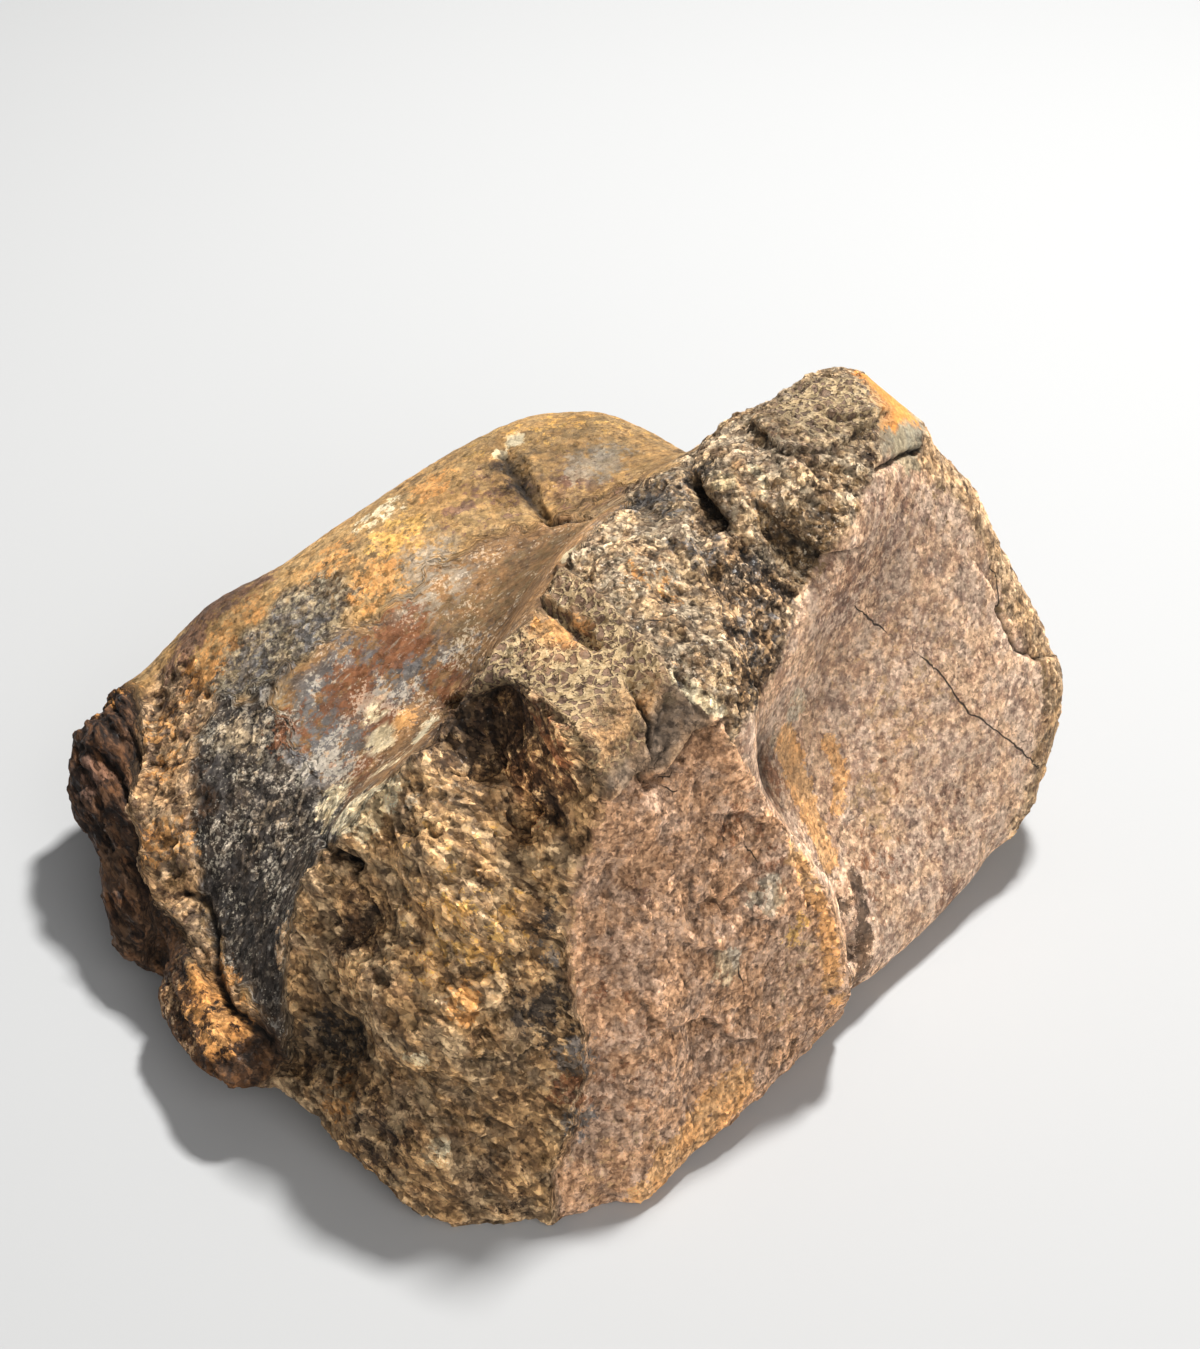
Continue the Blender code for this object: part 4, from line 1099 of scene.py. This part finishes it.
def channels(colour):
    """The three channels of a colour."""
    return step("SeparateColor", {}, Color=colour)


def speckle(place, span, detail, roughness=0.6):
    """Noise of this span in mm."""
    return step("TexNoise", {}, Vector=place, Scale=1 / (span * MM), Detail=detail, Roughness=roughness)["Fac"]


def drawn_out(place, direction, factor):
    """Places squeezed along a direction, for a pattern that runs along it."""
    run = Vector(direction).normalized()
    along = maths("MULTIPLY", vectors("DOT_PRODUCT", place, run)["Value"], 1 - 1 / factor)
    return vectors("SUBTRACT", place, step("VectorMath", {"operation": "SCALE"}, i0=run, Scale=along)[0])[0]


def facets(place, span):
    """Light and height in mm of flat broken grains of this span, each with its own tilt."""
    cells = step("TexVoronoi", {}, Vector=place, Scale=1 / (span * MM))
    away = vectors("SUBTRACT", place, cells["Position"])[0]
    tilt = vectors("SUBTRACT", cells["Color"], (0.5, 0.5, 0.5))[0]
    lean = maths("MULTIPLY", vectors("DOT_PRODUCT", away, tilt)["Value"], FACET_TILT / MM)
    light = channels(cells["Color"])[0]
    return light, maths("MULTIPLY_ADD", maths("SUBTRACT", light, 0.5), FACET_STEP * span, lean)


def flecks(noise, amount):
    """Spots where a noise rises above a level that a larger amount lowers."""
    edge = maths("MULTIPLY_ADD", amount, -0.17, 0.74)
    return between(maths("SUBTRACT", noise, edge), 0.0, 0.035)


place = step("TexCoord")["Object"]
ground = painted("tint")
second = painted("mottle")
speck_masks = painted("specks")
cream_mask, dark_mask, comb_mask = channels(speck_masks["Color"])
grain_mask = speck_masks["Alpha"]
run_masks = painted("runs")
saddle_mask, rough_mask, layer_mask = channels(run_masks["Color"])
ledge_mask, relief_shade_mask, shine_mask = channels(painted("breaks")["Color"])

# The weave is the place, squeezed along the run of each kind of surface, so that every pattern follows it.
weave = place
for mask, run, factor in ((saddle_mask, SADDLE_RUN, 1.25), (rough_mask, GRAIN_RUN, 1.35),
                          (layer_mask, LEFT_RUN, 3.5), (run_masks["Alpha"], DARK_RUN, 1.25)):
    weave = step("Mix", {"data_type": "VECTOR"}, i0=mask, i4=weave, i5=drawn_out(place, run, factor))[1]

wide = speckle(weave, WIDE_SPAN, 7.0, 0.7)
fine = speckle(weave, FINE_SPAN, 5.0, 0.65)
grain = speckle(weave, GRAIN_SPAN, 4.0, 0.75)
clouds = speckle(place, CLOUD_SPAN, 3.0)
_, ledges = facets(weave, LEDGE_SPAN)
grit_light, grit = facets(weave, GRIT_SPAN)
crystal_light, crystals = facets(weave, CRYSTAL_SPAN)
broken = maths("MULTIPLY", ledges, ledge_mask)
broken = maths("MULTIPLY_ADD", grit, grain_mask, broken)
broken = maths("MULTIPLY_ADD", crystals, maths("MULTIPLY", grain_mask, 0.7), broken)

# Ground and stains, a few of them painted shade, then clouds, warm and cool places, the light and dark tone of
# crystals and grit, and painted shade in the hollows of the broken relief with painted highlights on its tops.
mottling = step("Mix", {"data_type": "FLOAT"}, i0=ground["Alpha"], i2=wide, i3=fine)[0]
mottling = maths("SUBTRACT", mottling, maths("MULTIPLY_ADD", second["Alpha"], -0.34, 0.65))
soft = maths("MULTIPLY_ADD", grain_mask, 0.05, 0.02)
colour = mixed(between(mottling, maths("MULTIPLY", soft, -1.0), soft), ground["Color"], second["Color"])
laid_stain_and_shade = painted("stain_and_shade")
fringe = maths("MULTIPLY_ADD", speckle(weave, STAIN_AND_SHADE_SPAN, 8.0, 0.75), 3.2, -2.1)
fringe = between(maths("ADD", fringe, laid_stain_and_shade["Alpha"]), -0.06, 0.06)
colour = mixed(maths("MULTIPLY", fringe, STAIN_AND_SHADE_HOLD), colour, laid_stain_and_shade["Color"])
colour = shaded(0.5, colour, between(clouds, 0.3, 0.7), (0.76, 0.74, 0.72), (1.22, 1.21, 1.19))
warmth = between(speckle(weave, WARMTH_SPAN, 6.0, 0.7), 0.42, 0.58)
colour = shaded(maths("MULTIPLY_ADD", grain_mask, 0.5, 0.3), colour, warmth, (0.88, 0.94, 1.02), (1.14, 1.03, 0.86))
colour = shaded(maths("MULTIPLY_ADD", grain_mask, 0.6, 0.25), colour, crystal_light,
                (0.56, 0.52, 0.49), (1.44, 1.43, 1.41))
colour = shaded(maths("MULTIPLY", grain_mask, 0.75), colour, grit_light, (0.68, 0.64, 0.61), (1.30, 1.29, 1.27))
# Painted shade in the hollows of the broken ledges, grit and crystals, and painted highlights on their tops.
colour = shaded(maths("ADD", maths("MULTIPLY", relief_shade_mask, 0.6), 0.3), colour, between(broken, -0.40, 0.0),
                (0.24, 0.21, 0.19), (1.22, 1.21, 1.19))
colour = shaded(maths("MULTIPLY_ADD", grain_mask, -0.25, 0.35), colour, between(grain, 0.40, 0.60),
                (0.62, 0.58, 0.55), (1.32, 1.32, 1.30))

# Dark and cream specks come in clusters; fine scratches run along the saddle.
clusters = maths("MULTIPLY_ADD", between(clouds, 0.38, 0.62), 0.8, 0.3)
dark_specks = flecks(speckle(weave, DARK_SPECK_SPAN, 5.0, 0.75), maths("MULTIPLY", dark_mask, clusters))
colour = mixed(maths("MULTIPLY", dark_specks, 0.85), colour,
               mixed(0.5, DARK_SPECK_COLOUR, mixed(1.0, colour, (0.3, 0.26, 0.24, 1), "MULTIPLY")))
cream_specks = flecks(speckle(place, CREAM_SPECK_SPAN, 3.0, 0.7), maths("MULTIPLY", cream_mask, clusters))
colour = mixed(maths("MULTIPLY", cream_specks, 0.8), colour,
               mixed(0.5, CREAM_SPECK_COLOUR, mixed(1.0, colour, (2.2, 2.1, 2.0, 1), "MULTIPLY")))
scratches = between(speckle(drawn_out(place, SADDLE_RUN, SCRATCH_STRETCH), GRAIN_SPAN, 3.0), 0.63, 0.68)
colour = mixed(maths("MULTIPLY", maths("MULTIPLY", saddle_mask, 0.5), scratches), colour, SCRATCH_COLOUR)

# Honeycomb: thin curled walls, here and there worn through, around brown cells. Cells and curls per m, and how far
# the walls are curled in m.
COMB_SCALE = 640.0
CURL_SCALE = 620.0
CURL = 0.0024
curling = step("TexNoise", {}, Vector=place, Scale=CURL_SCALE, Detail=3.0)["Color"]
curl = vectors("ADD", place, step("VectorMath", {"operation": "SCALE"}, i0=curling, Scale=CURL)[0])[0]
cell_edge = step("TexVoronoi", {"feature": "DISTANCE_TO_EDGE"}, Vector=curl, Scale=COMB_SCALE)["Distance"]
wall_width = maths("MULTIPLY_ADD", speckle(place, 1.4, 2.0, 0.5), 0.5, -0.12)
wall = maths("SUBTRACT", 1.0, between(maths("SUBTRACT", cell_edge, wall_width), -0.03, 0.06))
comb = mixed(wall, mixed(between(fine, 0.3, 0.7), (0.09, 0.055, 0.038, 1), (0.34, 0.22, 0.15, 1)),
             mixed(between(grain, 0.3, 0.7), (0.46, 0.31, 0.15, 1), (0.78, 0.60, 0.35, 1)))
colour = mixed(maths("MULTIPLY", comb_mask, 0.9), colour, comb)

hairline_gap = maths("ABSOLUTE", painted("hairline")["Fac"])
hairline_half = painted("hairline_width")["Fac"]
hairline = maths("SUBTRACT", 1.0, between(maths("SUBTRACT", hairline_gap, hairline_half), -0.04, 0.05))
hairline = maths("MULTIPLY", hairline, between(hairline_half, 0.01, 0.04))
colour = mixed(maths("MULTIPLY", hairline, 0.9), colour, HAIRLINE_COLOUR)
tree.links.new(colour, stone.inputs["Base Color"])

# Height in mm of grain, specks, honeycomb walls and hairlines, and the gloss of worn places and crystals.
height = maths("MULTIPLY_ADD", fine, 0.08, broken)
height = maths("MULTIPLY_ADD", dark_specks, -0.08, height)
height = maths("MULTIPLY_ADD", wall, maths("MULTIPLY", comb_mask, 0.8), height)
height = maths("MULTIPLY_ADD", hairline, -0.3, height)
tree.links.new(step("Bump", {}, Height=height, Distance=MM, Strength=1.0)["Normal"], stone.inputs["Normal"])
sparkle = maths("MULTIPLY", grain_mask, between(crystal_light, 0.8, 0.9))
gloss = maths("MAXIMUM", maths("MULTIPLY", shine_mask, wide), sparkle)
tree.links.new(maths("MULTIPLY_ADD", gloss, -0.5, 0.88), stone.inputs["Roughness"])

bone = bpy.data.objects.new("toe_bone_surface", skin)
bpy.context.scene.collection.objects.link(bone)
skin.materials.clear()
skin.materials.append(paint)
for face in skin.polygons:
    face.use_smooth = True
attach(bone, "root")
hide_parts("toe_bone")
